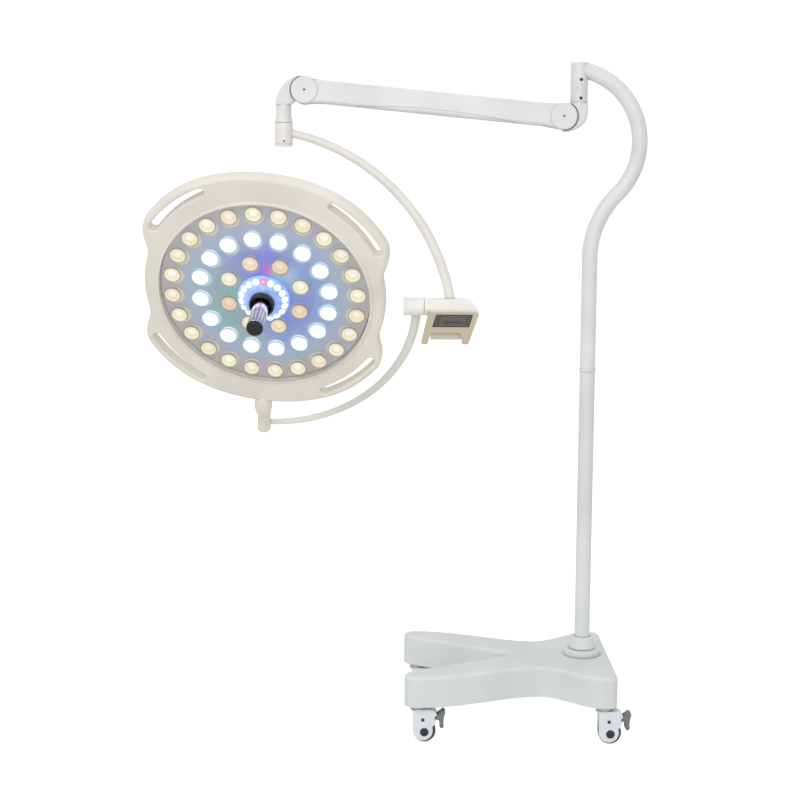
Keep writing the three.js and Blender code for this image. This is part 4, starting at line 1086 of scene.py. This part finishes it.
def rim_radius(angle):
    """Wide arcs above and below, narrower sides, and S-shaped shoulders between them."""
    from_side = math.degrees(math.acos(min(1, abs(cos(angle)))))
    wide = RIM_CORNER + (RIM_TOP - RIM_CORNER) * smooth(from_side, 45, 90)
    return RIM_SIDE + (wide - RIM_SIDE) * smooth(from_side, 17, 29)


def slot_outline(start, end):
    """Curved slot with round ends, between two angles in degrees."""
    radius, half = SLOT_R, SLOT_HALF
    a, b = radians(start), radians(end)
    points = arc(0, 0, radius + half, start, end, 20)
    points += arc(radius * cos(b), radius * sin(b), half, end + 15, end + 165, 10)
    points += arc(0, 0, radius - half, end, start, 20)
    points += arc(radius * cos(a), radius * sin(a), half, start + 195, start + 345, 10)
    return points


def rim_outline(count=60, steps=5):
    """The corners of the CAD rim, rounded by a curve through the middles of its sides."""
    corners = []
    for i in range(count):
        a = 2 * pi * i / count
        corners.append(Vector((rim_radius(a) * cos(a), rim_radius(a) * sin(a))))
    outline = []
    for i, corner in enumerate(corners):
        start = (corners[i - 1] + corner) / 2
        end = (corner + corners[(i + 1) % count]) / 2
        for j in range(steps):
            t = j / steps
            point = start * (1 - t) ** 2 + corner * 2 * t * (1 - t) + end * t ** 2
            outline.append((point.x, point.y))
    return outline


def build_rim():
    low, high = RIM_Z
    rim = plate(rim_outline(), low, high, 9, 12, 8)
    cut(rim, rod(WINDOW_R + GAP, low - 5, high + 5, 0, 160))
    flare = 3.5
    for quarter in (0, 90, 180, 270):
        start, end = (31, 60) if quarter % 180 == 0 else (30, 59)
        turns = [pi / 2 * i / 5 for i in range(6)]
        levels = [(low - 5, flare)]
        levels += [(low + flare * sin(a), flare * (1 - sin(a))) for a in turns]
        levels += [(high - flare * cos(a), flare * (1 - cos(a))) for a in turns]
        levels.append((high + 5, flare))
        cut(rim, stack(slot_outline(quarter + start, quarter + end), levels))
    r, z = WINDOW_R, WINDOW_Z
    lip = [(r + GAP, 20), (r + 9, 20), (r + 9, high), (r + 7, z - 1.6), (r + 4.5, z - 0.4), (r + 2, z),
           (r + GAP, z - 0.6), (r + GAP, 20)]
    join(rim, turned(lip, 160))
    cut(rim, turned([(296, -20), (309, -20), (309, 24), (296, 24), (296, -20)], 96))
    space = join(egg_blank(GAP), bar_y(KNUCKLE_R + GAP, -401, -300))
    cut(rim, placed(space, shift(0, -HEAD_UP)))
    piece("lamp_rim", rim, LAMP, "head", WARM, ["head_rim"], crisp=28)


def egg_blank(extra):
    bm = bmesh.new()
    bmesh.ops.create_uvsphere(bm, u_segments=64, v_segments=40, radius=1)
    size = Matrix.Diagonal([half + extra for half in EGG["size"]] + [1])
    bmesh.ops.transform(bm, matrix=shift(*EGG["centre"]) @ size, verts=bm.verts)
    return made(bm)


def build_back():
    seam = RIM_Z[0] - GAP
    dish = [(0, -62), (90, -61), (190, -56), (262, -46), (300, -32), (316, -16), (318, seam)]
    inside = [(310, seam), (308, -14), (293, -28), (258, -42), (188, -52), (90, -57.5), (0, -58.5)]
    back = turned(soften(dish + inside, 14, 5), 160)
    piece("lamp_back", back, LAMP, "head", WARM, ["back_cover"])


def add_lens(bm, values, profile, segments, stand, radius, tint=0.0):
    """One lens in a mesh of many. Each of its points keeps its place about the axis, and the tint."""
    turned(profile, segments, bm, stand)
    bm.verts.ensure_lookup_table()
    back = stand.inverted()
    for vertex in bm.verts[len(values):]:
        spot = back @ vertex.co
        values.append((spot.x / radius, spot.y / radius, tint))


def lens_piece(name, bm, values, material):
    lenses = linked(bm)
    store(lenses, "lens", values)
    piece(name, lenses, LAMP, "head", material, crisp=50)


def lens_group(name, rings, material):
    """Lenses of the given rings: a tapered body, a rim and a faintly domed face with two ring steps."""
    top = LENS_TOP
    profile = [(0, top), (5, top - 0.1), (6.5, top - 1.0), (9.5, top - 1.2), (11.5, top - 0.5),
               (13, top - 1.1), (18, top - 0.9), (21.5, top - 0.3), (23.2, top), (LENS_R, top - 0.8),
               (LENS_R - 0.6, top - 4), (LENS_R - 3, PLATE_SEAT[1] + 0.2)]
    bm = bmesh.new()
    values = []
    for ring in rings:
        count, radius, phase = LED_RINGS[ring]
        strength = 1.0 if ring == "inner" else 0.35
        for i in range(count):
            a = radians(phase + 360 * i / count)
            tint = (0.5 + 0.5 * sin(i * 2.4 + radius)) * strength
            add_lens(bm, values, profile, 40, shift(radius * cos(a), radius * sin(a)), LENS_R, tint)
    lens_piece(name, bm, values, material)


def build_lamps():
    edge = WINDOW_R - 2
    low, high = PLATE_SEAT
    carrier = turned(soften([(54, low), (edge, low), (edge, high), (54, high), (54, low)], 0.4), 160)
    store(carrier, "local", [v.co for v in carrier.data.vertices])
    piece("led_carrier", carrier, LAMP, "head", CARRIER, ["lens_array"])
    lens_group("warm_lenses", ("outer", "inner"), WARM_LENS)
    lens_group("white_lenses", ("middle",), WHITE_LENS)
    refinish(SINK, "led_heat_sink")
    pane = [(52, WINDOW_Z - 3), (WINDOW_R, WINDOW_Z - 3), (WINDOW_R, WINDOW_Z), (52, WINDOW_Z),
            (52, WINDOW_Z - 3)]
    piece("window_glass", turned(soften(pane, 0.4), 160), LAMP, "head", WINDOW, ["window_pane"])


def build_centre():
    z = WINDOW_Z
    ring = [(0, 13.9), (51.5, 13.9), (51.5, z + 0.4), (71, z + 0.4), (72, z + 2), (70.5, z + 7), (68, z + 9),
            (48, z + 20.5), (44, z + 22), (0, z + 22)]
    piece("small_lamp_ring", turned(soften(ring, 0.8), 128), LAMP, "head", FROSTED, ["centre_light_ring"])
    count, size = SMALL_RING["count"], SMALL_RING["lens"]
    dome = [(0, 6.2), (3.2, 5.7), (6.2, 4.2), (8.3, 1.8), (size, -1), (size, -4)]
    tilt = Matrix.Rotation(radians(SMALL_RING["tilt"]), 4, "Y")
    for name, chosen, material in (("small_lamps", range(1, count), SMALL_LENS), ("red_lamp", [0], RED_LENS)):
        bm = bmesh.new()
        values = []
        for i in chosen:
            turn = Matrix.Rotation(radians(90 + 360 * i / count), 4, "Z")
            add_lens(bm, values, dome, 28, turn @ shift(SMALL_RING["radius"], 0, z + 13.5) @ tilt, size)
        lens_piece(name, bm, values, material)

    low, top = z + 22 + GAP, z + 43
    socket = [(0, low), (32, low), (34, low + 1.5), (34, low + 4), (33.2, low + 4.2), (33.2, low + 6.6),
              (34, low + 6.8), (34, top - 2), (32.5, top), (29, top), (26.5, top - 3), (23, low + 9),
              (23, low + 8), (0, low + 8)]
    piece("handle_base", turned(soften(socket, 0.5), 96), LAMP, "head", BLACK, ["handle_socket"])
    band = [(33.3, low + 4.4), (34.1, low + 4.4), (34.1, low + 6.4), (33.3, low + 6.4), (33.3, low + 4.4)]
    piece("handle_base_band", turned(band, 96), LAMP, "head", CHROME)
    end = z + 138
    grip = [(0, low + 8.3), (21, low + 8.3), (21, top + 4), (22, top + 6), (22, end - 1), (21.2, end),
            (0, end)]
    piece("grip_tube", turned(soften(grip, 0.5), 96), LAMP, "handle", CHROME, ["handle_grip"])
    cap = [(0, end + GAP), (22.5, end + GAP), (22.5, end + 8), (20, end + 12), (14, end + 12.8),
           (0, end + 13)]
    piece("grip_end_cap", turned(soften(cap, 1.2), 96), LAMP, "handle", BLACK, ["handle_cap"])

    foot = join(egg_blank(0), bar_y(KNUCKLE_R, KNUCKLE_Y[1] + 0.4, -340, 1.5), bar_y(10, -430, -360))
    piece("egg_foot", foot, HEAD, "head", WARM, ["head_foot"])


# ------------------------------------------------------------------ floor, light and camera

def build_studio():
    bm = bmesh.new()
    bmesh.ops.create_grid(bm, x_segments=8, y_segments=8, size=30)
    floor = made(bm)
    floor.name = "studio_floor"
    n = Nodes("studio_floor")
    cloud = n.noise(0.6, 2.0)
    n.fill("Base Color", n.span(cloud, 0.3, 0.7, 0.40, 0.42))
    # the floor and the world are brighter to the camera than they are as light
    seen = n.add("ShaderNodeLightPath").outputs["Is Camera Ray"]
    n.fill("Emission Color", (1.0, 1.0, 1.0, 1.0))
    n.fill("Emission Strength", n.span(seen, 0, 1, 0.3, 0.85))
    n.fill("Roughness", 0.9)
    floor.data.materials.append(n.material)

    world = bpy.data.worlds.new("studio")
    world.use_nodes = True
    sky = world.node_tree.nodes["Background"]
    sky.inputs["Color"].default_value = (1.0, 1.0, 1.0, 1.0)
    seen = world.node_tree.nodes.new("ShaderNodeLightPath").outputs["Is Camera Ray"]
    level = world.node_tree.nodes.new("ShaderNodeMapRange")
    level.inputs["To Min"].default_value = 0.7
    level.inputs["To Max"].default_value = 1.05
    world.node_tree.links.new(seen, level.inputs["Value"])
    world.node_tree.links.new(level.outputs[0], sky.inputs["Strength"])
    bpy.context.scene.world = world

    def lamp(name, spot, target, size, power):
        data = bpy.data.lights.new(name, "AREA")
        data.size = size
        data.energy = power
        light = bpy.data.objects.new(name, data)
        light.location = spot
        light.rotation_euler = (Vector(target) - Vector(spot)).to_track_quat("-Z", "Y").to_euler()
        link(light)

    lamp("key", (-2.2, -3.4, 3.6), (0, 0, 0.9), 1.6, 40)
    lamp("front", (0.4, -4.4, 1.8), (0, 0, 0.9), 2.0, 26)
    lamp("top", (0.6, 0.2, 4.6), (0, 0, 0.6), 2.6, 12)
    bpy.context.scene.view_settings.view_transform = "Standard"


def build_camera():
    data = bpy.data.cameras.new("camera")
    data.sensor_width = 36
    data.lens = CAMERA["lens"]
    camera = link(bpy.data.objects.new("camera", data))
    place = Matrix.Translation(MAST.translation + Vector(CAMERA["place"]))
    down_turn = Matrix.Rotation(radians(90 - CAMERA["down"]), 4, "X")
    camera.matrix_world = place @ down_turn @ Matrix.Rotation(radians(CAMERA["roll"]), 4, "Z")
    bpy.context.scene.camera = camera


build_camera()
build_studio()
build_base()
for caster, (spot_x, spot_y) in CASTERS.items():
    build_caster(caster, spot_x, spot_y)
build_mast()
build_arm()
build_elbows()
build_yoke()
build_control_box()
build_lower_yoke()
build_rim()
build_back()
build_lamps()
build_centre()
